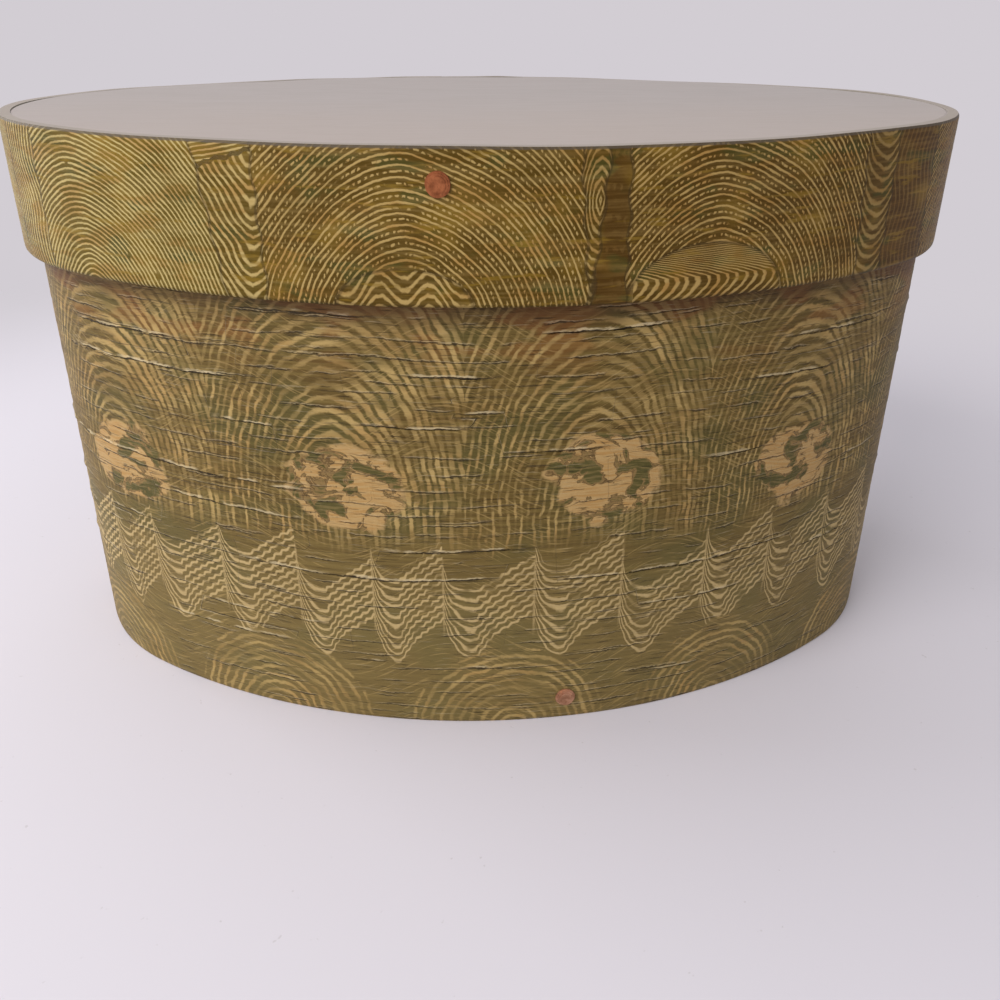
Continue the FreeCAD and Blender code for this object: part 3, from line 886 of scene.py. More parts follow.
class Value:
    """A number or a vector that a material works out."""

    def __init__(self, graph: "Graph", socket: bpy.types.NodeSocket) -> None:
        """Keeps the graph and the socket that gives the value."""
        self.graph, self.socket = graph, socket

    def __add__(self, other: "Number") -> "Value":
        """This and another value together."""
        return self.graph.maths("ADD", self, other)

    def __sub__(self, other: "Number") -> "Value":
        """This value less another."""
        return self.graph.maths("SUBTRACT", self, other)

    def __rsub__(self, other: "Number") -> "Value":
        """Another value less this."""
        return self.graph.maths("SUBTRACT", other, self)

    def __mul__(self, other: "Number") -> "Value":
        """This value times another."""
        return self.graph.maths("MULTIPLY", self, other)

    def __truediv__(self, other: "Number") -> "Value":
        """This value over another."""
        return self.graph.maths("DIVIDE", self, other)

    def __abs__(self) -> "Value":
        """This value without its sign."""
        return self.graph.maths("ABSOLUTE", self)

    __radd__ = __add__
    __rmul__ = __mul__


Number = Union[Value, float, int]


class Graph:
    """The nodes of a material, written as sums."""

    def __init__(self, name: str, world: bool = False) -> None:
        """Starts an empty material, or an empty world.

        Args:
            name: Its name.
            world: Whether it is a world.
        """
        self.material = (bpy.data.worlds if world else bpy.data.materials).new(name)
        self.material.use_nodes = True
        self.tree = self.material.node_tree
        self.tree.nodes.clear()

    def node(self, kind: str, inputs: Optional[dict] = None, **settings: object) -> bpy.types.Node:
        """Adds a node.

        Args:
            kind: Its type.
            inputs: Values for its inputs, by name or number.
            settings: Its other properties.

        Returns:
            The node.
        """
        node = self.tree.nodes.new(kind)
        for name, setting in settings.items():
            setattr(node, name, setting)
        for name, value in (inputs or {}).items():
            self.put(node.inputs[name], value)
        return node

    def put(self, socket: bpy.types.NodeSocket, value: object) -> None:
        """Links a value to a socket, or sets the socket where it is a plain one.

        Args:
            socket: The socket.
            value: A worked value, or a plain number, vector or colour.
        """
        if isinstance(value, Value):
            self.tree.links.new(value.socket, socket)
        else:
            socket.default_value = value

    def maths(self, operation: str, *values: Number) -> Value:
        """Works one sum on some values."""
        node = self.node("ShaderNodeMath", dict(enumerate(values)), operation=operation)
        return Value(self, node.outputs[0])

    def field(self, name: str) -> tuple[Value, Value, Value]:
        """The three numbers that a mesh stores under a name."""
        stored = self.node("ShaderNodeAttribute", attribute_name=name)
        return self.split(Value(self, stored.outputs["Vector"]))

    def split(self, vector: Value) -> tuple[Value, Value, Value]:
        """A vector's three numbers."""
        node = self.node("ShaderNodeSeparateXYZ", {0: vector})
        return tuple(Value(self, socket) for socket in node.outputs)

    def join(self, x: Number, y: Number, z: Number = 0.0) -> Value:
        """A vector of three numbers."""
        return Value(self, self.node("ShaderNodeCombineXYZ", {0: x, 1: y, 2: z}).outputs[0])

    def place(self) -> tuple[Value, Value, Value]:
        """The place on the object, in millimetres.

        Returns:
            Its x, y and z.
        """
        node = self.node("ShaderNodeTexCoord")
        x, y, z = self.split(Value(self, node.outputs["Object"]))
        return x / MM, y / MM, z / MM

    def noise(self, x: Number, y: Number, z: Number = 0.0, detail: float = 2.0,
              rough: float = 0.5, warp: float = 0.0) -> Value:
        """Noise of about one bump per unit, 0 to 1.

        Args:
            x: Where to read it, first number.
            y: Second number.
            z: Third number.
            detail: How many finer layers it has.
            rough: How strong they are.
            warp: How much it folds into itself.

        Returns:
            The noise.
        """
        node = self.node("ShaderNodeTexNoise", {
            "Vector": self.join(x, y, z), "Scale": 1.0, "Detail": detail, "Roughness": rough,
            "Distortion": warp})
        return Value(self, node.outputs[0])

    def smooth(self, value: Number, low: float, high: float) -> Value:
        """0 below one value, 1 above another, and an S-curve between.

        Args:
            value: The value.
            low: Where the curve starts.
            high: Where it ends.

        Returns:
            The place on the curve, 0 to 1.
        """
        node = self.node("ShaderNodeMapRange", {0: value, 1: low, 2: high, 3: 0.0, 4: 1.0},
                         interpolation_type="SMOOTHSTEP")
        return Value(self, node.outputs[0])

    def fall(self, value: Number, low: float, high: float) -> Value:
        """1 below one value, 0 above another, and an S-curve between."""
        return 1.0 - self.smooth(value, low, high)

    def most(self, first: Number, *others: Number) -> Value:
        """The largest of some values.

        Args:
            first: One value.
            others: The others.

        Returns:
            The largest.
        """
        for other in others:
            first = self.maths("MAXIMUM", first, other)
        return first

    def blend(self, share: Number, first: object, second: object) -> Value:
        """A colour between two.

        Args:
            share: How much of the second.
            first: A colour.
            second: Another.

        Returns:
            The mixed colour.
        """
        node = self.node("ShaderNodeMix", {0: share, 6: first, 7: second}, data_type="RGBA")
        return Value(self, node.outputs[2])

    def strokes(self, line: Value, width: Number, soft: float = 0.18) -> tuple[Value, Value]:
        """Strokes that follow whole numbers of a value.

        Args:
            line: The value, one more for each next stroke.
            width: How much of the pitch a stroke covers, 0 to 1.
            soft: How soft its edges are.

        Returns:
            1 on a stroke and 0 between, and the stroke's own number.
        """
        row = self.maths("FLOOR", line)
        off = abs(line - row - 0.5) * 2.0
        edge = (off - width) / soft
        return self.fall(edge, -0.5, 0.5), row

    def dashes(self, run: Value, row: Value, length: float, filled: float) -> Value:
        """Breaks strokes into dashes, shifted from one stroke to the next.

        Args:
            run: How far along its stroke each place is.
            row: The stroke's number.
            length: How far apart the dashes start.
            filled: How much of that a dash fills, 0 to 1.

        Returns:
            1 on a dash and 0 between.
        """
        turn = self.maths("FRACT", run / length + row * 0.381)
        off = abs(turn - 0.5) * 2.0
        return self.fall(off, filled - 0.15, filled + 0.15)

    def finish(self, base: Value, roughness: Number, height: Optional[Value] = None,
               deep: float = 0.0, **shader: object) -> bpy.types.Material:
        """Ends the material with its shader.

        Args:
            base: Its colour.
            roughness: Its roughness.
            height: The relief of its surface, 0 to 1.
            deep: How many millimetres the relief is.
            shader: Other inputs of the shader, by name with _ for a space.

        Returns:
            The material.
        """
        inputs = {"Base Color": base, "Roughness": roughness}
        inputs.update({name.replace("_", " "): value for name, value in shader.items()})
        bsdf = self.node("ShaderNodeBsdfPrincipled", inputs)
        if height is not None:
            bump = self.node("ShaderNodeBump", {"Height": height, "Distance": deep * MM,
                                                "Strength": 1.0})
            self.tree.links.new(bump.outputs[0], bsdf.inputs["Normal"])
        out = self.node("ShaderNodeOutputMaterial")
        self.tree.links.new(bsdf.outputs[0], out.inputs[0])
        return self.material


@dataclass(frozen=True)
class Spot:
    """A place on a band, and how slowly and quickly the grainer's hand strays there."""

    along: Value
    up: Value
    hand: Value
    shake: Value


@dataclass(frozen=True)
class BodyPaint:
    """Grained paint on the body: an olive glaze wiped away over ochre."""

    name: str = "grained_body"
    glaze: Colour = colour(84, 64, 20)
    glaze_thin: Colour = colour(112, 92, 44)
    # A pale glaze in the rosettes, and painted bounce light from the table on the lower body.
    pale_glaze_and_bounce_light: Colour = colour(126, 108, 64)
    green: Colour = colour(76, 70, 28)
    ochre: Colour = colour(176, 148, 92)
    orange: Colour = colour(166, 124, 66)
    pale: Colour = colour(188, 162, 112)
    rust: Colour = colour(132, 82, 34)
    # Brown of the rosettes' creases, and of the painted shadow under the lid.
    brown: Colour = colour(66, 42, 14)
    putty: Colour = colour(176, 144, 94)
    smudge: Colour = colour(140, 110, 66)
    # Painted highlight on the lifted lips of the cracks.
    lip: Colour = colour(200, 182, 146)
    # Painted shadow inside the cracks of the body.
    blackish_brown: Colour = colour(32, 22, 8)
    roughness: float = 0.5
    shine: float = 0.24
    spacing: float = 55.0
    rosette_size: tuple[float, float] = (13.6, 11.6)
    wave_pitch: float = 2.1
    wave_rise: float = 9.2
    steps: float = 4.6
    shear: float = 0.21
    spring: float = 56.0
    fan_reach: float = 23.0

    def make(self) -> bpy.types.Material:
        """Builds the material.

        Returns:
            The material.
        """
        g = Graph(self.name)
        along, up, _ = g.field("strip")
        streak = g.noise(along * 0.035, up * 1.3, 2.0, 3, 0.6)
        fine = g.noise(along * 0.25, up * 3.5, 7.0, 2, 0.6)
        patch = g.noise(along * 0.05, up * 0.06, 5.0, 2)
        hand = g.noise(along * 0.12, up * 0.12, 1.0, 3) - 0.5
        shake = g.noise(along * 0.8, up * 0.8, 3.0, 2) - 0.5
        show = g.smooth(patch + fine * 0.3, 0.42, 0.72)
        spot = Spot(along, up, hand, shake)
        fans, inside = self.fans(g, spot)
        lines = g.most(self.arches(g, spot, show), fans)
        waves = self.waves(g, spot) * (1.0 - inside) * (0.8 + show * 0.2)
        rubbed = g.smooth(fine + streak * 0.7, 0.42, 0.75)
        sweep = g.maths("SINE", along / 8.0) * 5.0
        scratch = g.noise(along * 0.12, (up + sweep) * 1.9, 4.0, 2)
        ground = g.blend(g.smooth(streak, 0.35, 0.7), self.glaze, self.glaze_thin)
        ground = g.blend(g.smooth(patch, 0.45, 0.65) * 0.65, ground, self.green)
        # Painted bounce light: the ground is paler towards the foot, as if lit from the table.
        ground = g.blend(g.fall(up, 22.0, 66.0) * 0.5, ground, self.pale_glaze_and_bounce_light)
        ground = g.blend(g.smooth(scratch, 0.57, 0.66) * 0.35, ground, self.ochre)
        stain = g.noise(along * 0.05, up * 0.14, 8.0, 2)
        ground = g.blend(g.smooth(stain, 0.5, 0.6) * g.smooth(up, 86.0, 102.0) * 0.6,
                         ground, self.rust)
        ochre = g.blend(g.smooth(g.noise(along * 0.09, up * 0.13, 19.0, 2), 0.45, 0.62) * 0.45,
                        self.ochre, self.orange)
        thin = g.smooth(g.noise(along * 0.05, up * 0.13, 23.0, 2), 0.36, 0.56) * 0.6 + 0.4
        base = g.blend(lines * rubbed * thin, ground, ochre)
        base = g.blend(waves * (0.5 + rubbed * 0.5), base, self.pale)
        base, relief = self.rosette(g, base, up)
        # Painted shadow of the lid along the top of the body.
        shade = g.smooth(up + (stain - 0.5) * 14.0, 97.0, 103.5)
        base = g.blend(shade * 0.6, base, self.brown)
        # Painted light on the cracks: a painted highlight on each lifted lip and painted shadow in each gap.
        gap, lip = self.splits(g, along, up)
        base = g.blend(lip * 0.55, base, self.lip)
        base = g.blend(gap * 0.92, base, self.blackish_brown)
        height = streak * 0.4 + fine * 0.3 + g.most(lines, waves) * 0.12 + relief * 0.12
        height = height + lip * 0.35 - gap * 0.9
        return g.finish(base, self.roughness + fine * 0.16, height, 0.28,
                        Specular_IOR_Level=self.shine)

    def beside(self, g: Graph, turn: Value) -> tuple[Value, Value]:
        """How far along the band the nearest stroke of a row is, and its number."""
        number = g.maths("ROUND", turn)
        return (turn - number) * self.spacing, number

    def waves(self, g: Graph, spot: Spot) -> Value:
        """The rows of waves, which climb in steps and fall where a panel starts.

        Args:
            g: The material's graph.
            spot: The place on the band.

        Returns:
            1 on a wave and 0 between.
        """
        up, hand, shake = spot.up, spot.hand, spot.shake
        panel, _, _ = g.field("panels")
        number = g.maths("FLOOR", panel)
        share = panel - number
        climb = g.maths("MAXIMUM", (share - 0.36) / 0.64, 0.0) * self.steps
        climb = climb + up * self.shear
        tread = g.maths("FLOOR", climb)
        part = climb - tread
        stair = tread + g.smooth(part, 0.3, 0.95) * 0.65 + part * 0.35 - up * self.shear
        fall = g.maths("EXPONENT", share * -15.0) * 7.5
        valley = g.smooth(share, 0.0, 0.3) * g.fall(share, 0.3, 0.62)
        dip = valley * g.fall(up, 20.0, 38.0) * 3.6
        uneven = g.maths("SINE", number * 1.7) * 1.3
        level = up - stair * (self.wave_rise / self.steps) - fall + dip - uneven
        line = level / self.wave_pitch + hand * 0.8 + shake * 0.26
        stroke, row = g.strokes(line, 0.36 + hand * 0.3, 0.4)
        top = g.maths("SINE", number * 2.9) * 1.2 + 19.2
        held = g.smooth(line, 9.6, 10.0) * g.fall(line - top, -0.2, 0.2)
        broken = g.smooth(g.noise(spot.along * 0.22, row * 1.9, 2.0, 1), 0.3, 0.45)
        edge = g.maths("MINIMUM", share, 1.0 - share) * 19.0 + shake * 0.3
        drop = g.fall(edge, 0.08, 0.4) * g.smooth(up, 24.0, 30.0)
        drop = drop * g.fall(up + hand * 8.0, 44.0, 49.0)
        return g.most(stroke * held * (0.2 + broken * 0.65), drop * 0.5)

    def arches(self, g: Graph, spot: Spot, show: Value) -> Value:
        """The nested arches above the rosettes.

        Args:
            g: The material's graph.
            spot: The place on the band.
            show: Where the strokes show best.

        Returns:
            1 on an arch and 0 between.
        """
        along, up, hand, shake = spot.along, spot.up, spot.hand, spot.shake
        across, _ = self.beside(g, g.field("turns")[0])
        over = g.maths("MAXIMUM", up - self.spring, 0.0)
        right = g.smooth(across, -6.0, 9.0)
        line = g.maths("SQRT", g.maths("POWER", across / 1.5, 2.0)
                       + g.maths("POWER", over / 2.9, 2.0))
        stroke, row = g.strokes(line + hand * 1.6 + shake * 0.35, 0.36 + right * 0.24, 0.45)
        away = abs(across)
        side = away / (away + over * 0.7 + 1.0)
        run = over + away * 0.25 + hand * 4.0 + shake * 2.0
        dash = g.dashes(run, row, 5.2, 0.62)
        ring = g.smooth(g.noise(line * 0.4, along * 0.03, 4.0, 1), 0.38, 0.6)
        drawn = stroke * (1.0 - side * (1.0 - dash) * 0.9) * (0.15 + ring * 0.45 + show * 0.3)
        ragged = g.noise(along * 0.35, up * 0.2, 6.0, 2) * 9.0
        return drawn * g.smooth(up + ragged, self.spring - 6.0, self.spring + 2.0)

    def fans(self, g: Graph, spot: Spot) -> tuple[Value, Value]:
        """The fans at the foot, which were drawn over the waves.

        Args:
            g: The material's graph.
            spot: The place on the band.

        Returns:
            1 on a stroke and 0 between, and 1 all over a fan.
        """
        across, _ = self.beside(g, g.field("turns")[2])
        radius = g.maths("SQRT", across * across + g.maths("POWER", spot.up + 1.5, 2.0))
        stroke, _ = g.strokes(radius / 2.2 + spot.hand * 1.5 + spot.shake * 0.35, 0.36, 0.42)
        inside = g.smooth(self.fan_reach - radius + spot.shake * 3.0 + spot.hand * 5.0,
                          -0.6, 0.6)
        ring = g.smooth(g.noise(radius * 0.14, spot.along * 0.05, 9.0, 1), 0.4, 0.6)
        return stroke * inside * (0.3 + ring * 0.5), inside

    def rosette(self, g: Graph, base: Value, up: Value) -> tuple[Value, Value]:
        """Dabs of putty, turned with the thumb into ragged, curled petals.

        Args:
            g: The material's graph.
            base: The colour round them.
            up: Not used.

        Returns:
            The colour with the dabs on it, and their relief.
        """
        _, turn, _ = g.field("turns")
        _, above, _ = g.field("panels")
        across, seed = self.beside(g, turn)
        wide, tall = self.rosette_size
        x, y, seed = across / wide, above / tall, seed * 3.7
        bend = g.noise(x * 1.0 + seed, y * 1.0, 2.0, 2) - 0.5
        ragged = g.noise(x * 2.4 + seed, y * 2.4, 6.0, 3, 0.65) - 0.5
        reach = g.maths("SQRT", x * x + y * y) + bend * 0.8 + ragged * 0.4
        inside = g.fall(reach, 0.84, 0.93)
        angle = g.maths("ARCTAN2", y + bend * 0.9, x + ragged * 0.8) / (2 * math.pi)
        petal = g.maths("FRACT", angle * 2.0 + reach * 0.9 + bend * 1.6 + seed * 0.37)
        curl = g.smooth(petal, 0.0, 0.2) * g.fall(petal, 0.45, 0.8)
        clot = g.noise(x * 1.7 + seed, y * 2.3 + bend * 2.0, 3.0, 4, 0.6, 1.6)
        mass = clot + curl * 0.2 + ragged * 0.12
        dab = g.smooth(mass, 0.605, 0.65)
        thin = g.smooth(mass, 0.5, 0.56)
        crease = g.fall(abs(mass - 0.6), 0.004, 0.018)
        combed = g.noise(x * 2.0, y * 22.0 + bend * 8.0, 5.0, 2)
        pale = g.blend(g.smooth(combed, 0.4, 0.65) * 0.7, self.putty, self.orange)
        dark = g.blend(g.smooth(combed, 0.45, 0.65) * 0.6, self.green, self.pale_glaze_and_bounce_light)
        dark = g.blend(thin * 0.75, dark, self.smudge)
        marble = g.blend(dab, dark, pale)
        marble = g.blend(crease * 0.65, marble, self.brown)
        rim = g.smooth(reach, 0.82, 0.87) * g.fall(reach, 0.9, 0.96)
        base = g.blend(inside * 0.95, base, marble)
        base = g.blend(rim * g.smooth(clot, 0.48, 0.56) * 0.6, base, self.putty)
        return base, inside * (dab + crease)

    def splits(self, g: Graph, along: Value, up: Value) -> tuple[Value, Value]:
        """Long cracks with a lifted lip, and finer ones along the grain, with painted shadow in each crack
        and a painted highlight on its lip.

        Args:
            g: The material's graph.
            along: The place along the band.
            up: The place up the band.

        Returns:
            How open each place is, which is painted as shadow, and how much it is a lifted lip, which is
            painted as a highlight.
        """
        off, force, level = g.field("split")
        jag = (g.noise(along * 0.2, up * 0.5, 12.0, 3, 0.75) - 0.5) * 1.6
        worn = g.smooth(g.noise(along * 0.12, level * 0.6, 17.0, 2), 0.32, 0.44)
        off = off + jag
        # Painted shadow inside the crack.
        gap = g.fall(abs(off), 0.05, 0.26) * force * worn * 1.2
        # Painted highlight on the lifted lip above the crack.
        lip = g.smooth(off, 0.1, 0.26) * g.fall(off, 0.4, 0.8) * force * 1.3
        lip = lip * g.smooth(g.noise(along * 0.16, level * 0.3, 13.0, 2), 0.4, 0.54)
        # Finer cracks: painted shadow in each, and a painted highlight beside it.
        for pitch, seed, least in ((3.7, 21.0, 0.5), (2.3, 27.0, 0.57)):
            stray = g.noise(along * 0.02, up * 0.05, seed, 2) * 3.0
            line = (level + stray + jag) / pitch
            row = g.maths("FLOOR", line)
            side = (line - row - 0.5) * (2.0 * pitch)
            there = g.smooth(g.noise(along * 0.06 + row * 5.1, row * 3.3, seed, 2), least,
                             least + 0.09)
            thin = g.fall(abs(side), 0.06, 0.3) * there
            gap = g.most(gap, thin * 0.8)
            edge = g.smooth(side, 0.2, 0.42) * g.fall(side, 0.5, 0.95)
            lip = g.most(lip, edge * there * 0.5)
        # Hair cracks: thin lines of painted shadow and of painted highlight.
        hair = g.noise(along * 0.1, level * 2.6 + jag, 31.0, 2, 0.6)
        gap = g.most(gap, g.smooth(hair, 0.62, 0.7) * 0.55)
        lip = g.most(lip, g.fall(hair, 0.3, 0.38) * 0.4)
        return g.maths("MINIMUM", gap, 1.0), lip


@dataclass(frozen=True)
class LidPaint:
    """Grained paint on the lid's band: smoother and yellower than the body's."""

    name: str = "grained_lid"
    glaze_left: Colour = colour(88, 70, 6)
    ochre_left: Colour = colour(178, 158, 102)
    glaze_right: Colour = colour(70, 44, 0)
    ochre_right: Colour = colour(164, 130, 72)
    yellow: Colour = colour(150, 118, 36)
    orange: Colour = colour(150, 104, 40)
    green: Colour = colour(62, 62, 18)
    blackish_brown: Colour = colour(40, 30, 12)
    corner: Colour = colour(84, 74, 62)
    roughness: float = 0.4
    shine: float = 0.14
    height: float = 29.8

    def make(self) -> bpy.types.Material:
        """Builds the material.

        Returns:
            The material.
        """
        g = Graph(self.name)
        along, up, _ = g.field("strip")
        edge, tone, _ = g.field("zones")
        streak = g.noise(along * 0.05, up * 1.1, 2.0, 3, 0.6)
        fine = g.noise(along * 0.8, up * 2.6, 7.0, 2, 0.6)
        patch = g.noise(along * 0.07, up * 0.09, 5.0, 2)
        hand = g.noise(along * 0.14, up * 0.14, 1.0, 2) - 0.5
        shake = g.noise(along * 0.9, up * 0.9, 3.0, 2) - 0.5
        calm = g.fall(tone, 0.1, 0.5)
        layers = []
        for name in ("comb_even", "comb_odd"):
            line, run, strength = g.field(name)
            solid = g.smooth(0.0 - strength, -0.01, 0.01)
            stroke, row = g.strokes(line + hand * 1.0 + shake * 0.3, 0.36 + hand * 0.4, 0.42)
            second = g.maths("FRACT", row * 0.5) * 2.0
            luck = g.noise(run * 0.25, row * 1.7, 6.0, 1)
            dots = g.dashes(run + shake * 2.2, row, 1.5, 0.5) * g.smooth(luck, 0.34, 0.44)
            dots = g.most(dots, g.smooth(luck + calm * 0.3, 0.56, 0.64))
            stroke = stroke * (1.0 - second * (1.0 - dots) * (1.0 - solid) * 0.95)
            layers.append(stroke * abs(strength))
        even = g.smooth(edge, -0.08, 0.08)
        lines = layers[0] * even + layers[1] * (1.0 - even)
        smear = g.noise(along * 0.09, up * 0.6, 11.0, 3, 0.6)
        smear = g.smooth(smear, 0.56, 0.68)
        lines = lines * (0.72 + 0.45 * g.smooth(patch + fine * 0.3, 0.4, 0.75))
        lines = lines * (1.0 - smear * 0.55)
        glaze = g.blend(tone, self.glaze_left, self.glaze_right)
        ochre = g.blend(tone, self.ochre_left, self.ochre_right)
        glaze = g.blend(g.smooth(patch, 0.5, 0.72) * 0.35, glaze, self.yellow)
        leaf = g.smooth(g.noise(along * 0.09, up * 0.2, 15.0, 2), 0.55, 0.66)
        glaze = g.blend(leaf * 0.7, glaze, self.green)
        glaze = g.blend(smear * 0.4, glaze, self.yellow)
        ochre = g.blend(g.smooth(g.noise(along * 0.1, up * 0.3, 19.0, 2), 0.48, 0.62) * 0.5,
                        ochre, self.orange)
        ground = g.blend(g.smooth(streak, 0.4, 0.7) * 0.18, glaze, ochre)
        base = g.blend(lines, ground, ochre)
        seam = g.fall(abs(edge + shake * 0.3), 0.15, 0.5)
        base = g.blend(seam * 0.45, base, self.blackish_brown)
        foot = g.fall(up + fine * 0.8, 0.3, 1.2)
        base = g.blend(foot * 0.5, base, self.blackish_brown)
        corner = g.smooth(up + fine * 0.3, self.height - 0.5, self.height - 0.2)
        base = g.blend(corner * 0.85, base, self.corner)
        height = streak * 0.2 + fine * 0.12 + lines * 0.3
        return g.finish(base, self.roughness + fine * 0.14, height, 0.12,
                        Specular_IOR_Level=self.shine)


@dataclass(frozen=True)
class BareWood:
    """Old bare wood: the bands' insides and edges."""

    name: str = "bare_wood"
    light: Colour = colour(190, 165, 130)
    dark: Colour = colour(140, 110, 76)
    edge: Colour = colour(158, 140, 120)
    joint: Colour = colour(132, 124, 112)
    rim: float = 200.0

    def make(self) -> bpy.types.Material:
        """Builds the material, darker by the joint with the board where it has a rim.

        Returns:
            The material.
        """
        g = Graph(self.name)
        along, up, share = g.field("strip")
        grain = g.noise(along * 0.04, up * 1.1, 2.0, 3, 0.6)
        pores = g.noise(along * 0.5, up * 5.0, 4.0, 2, 0.6)
        base = g.blend(g.smooth(grain, 0.35, 0.7), self.light, self.dark)
        base = g.blend(g.smooth(pores, 0.6, 0.75) * 0.4, base, self.dark)
        outside = g.fall(share, 0.9, 0.999)
        base = g.blend(outside * 0.8, base, self.edge)
        base = g.blend(g.smooth(up, self.rim - 1.2, self.rim - 0.7), base, self.joint)
        return g.finish(base, 0.65 + pores * 0.2, grain * 0.6 + pores * 0.4, 0.15)


@dataclass(frozen=True)
class BoardFinish:
    """A board's finish, read in the object's own place, with its grain along X."""

    name: str
    light: Colour
    dark: Colour
    warm: Colour
    joint: Colour
    roughness: float
    grain: float
    shine: float

    def make(self) -> bpy.types.Material:
        """Builds the material.

        Returns:
            The material.
        """
        g = Graph(self.name)
        x, y, z = g.place()
        rings = g.noise(x * 0.012, y * 0.16 + z * 0.1, 3.0, 4, 0.55)
        lines, _ = g.strokes(rings * 9.0, 0.3, 0.8)
        pores = g.noise(x * 0.12, y * 1.9, z * 0.8, 2, 0.6)
        blotch = g.noise(x * 0.03, y * 0.05, 1.0, 3)
        base = g.blend(lines * self.grain, self.light, self.dark)
        base = g.blend(g.smooth(pores, 0.62, 0.8) * self.grain * 1.2, base, self.dark)
        # Warmer towards the front. On the lid's board this is painted reflection: the backdrop's glare greys
        # the far part of the top more than the near part. On the bottom board it is only a tint.
        front = g.smooth(y * -1.0 + blotch * 40.0, -10.0, 90.0)
        base = g.blend(front * 0.5, base, self.warm)
        facing = self.upright(g)
        base = g.blend(g.fall(facing, 0.8, 0.97) * 0.8, base, self.joint)
        height = pores * 0.5 + lines * 0.3 + blotch * 0.2
        return g.finish(base, self.roughness + blotch * 0.12, height, 0.1,
                        Specular_IOR_Level=self.shine)

    def upright(self, g: Graph) -> Value:
        """How squarely a face looks up or down."""
        normal = g.node("ShaderNodeNewGeometry").outputs["True Normal"]
        return abs(g.split(Value(g, normal))[2])


@dataclass(frozen=True)
class Copper:
    """Old copper: hammered and browned in clouds, with dark specks."""

    name: str = "old_copper"
    bright: Colour = colour(166, 100, 62)
    brown: Colour = colour(126, 70, 38)
    dull_bright: Colour = colour(198, 150, 120)
    dull_brown: Colour = colour(152, 107, 79)
    dark: Colour = colour(78, 50, 34)

    def make(self) -> bpy.types.Material:
        """Builds the material.

        Returns:
            The material.
        """
        g = Graph(self.name)
        x, y, z = g.place()
        cloud = g.noise(x * 0.5, y * 0.5, z * 0.5, 3, 0.6)
        speck = g.noise(x * 2.5, y * 2.5, z * 2.5, 2, 0.6)
        lid = g.smooth(z, 100.0, 112.0)
        bright = g.blend(lid, self.dull_bright, self.bright)
        brown = g.blend(lid, self.dull_brown, self.brown)
        base = g.blend(g.smooth(cloud, 0.35, 0.7), bright, brown)
        base = g.blend(g.smooth(speck, 0.62, 0.78) * 0.5, base, self.dark)
        height = cloud * 0.5 + speck * 0.5
        return g.finish(base, 0.36 + speck * 0.3, height, 0.08, Metallic=0.75)


@dataclass(frozen=True)
class Seat:
    """Where a tack goes in, square to the wood."""

    node: str
    angle: float
    depth: float
    level: float
    body: str

    def matrix(self, spin: float) -> Matrix:
        """Puts a tack that stands on the XY plane, head up, into its seat.

        Args:
            spin: How far the tack is turned about its own axis.

        Returns:
            The matrix from the tack's own place to the seat.
        """
        x, y = OVAL.place(np.array([self.angle]), np.array([self.depth - 0.03]))
        out = Vector((math.sin(self.angle), -math.cos(self.angle), 0))
        side = Vector((0, 0, 1)).cross(out)
        turned = Matrix((side, Vector((0, 0, 1)), out)).transposed().to_4x4()
        place = Vector((float(x[0]) * MM, float(y[0]) * MM, self.level * MM))
        return Matrix.Translation(place) @ turned @ Matrix.Rotation(spin, 4, "Z")


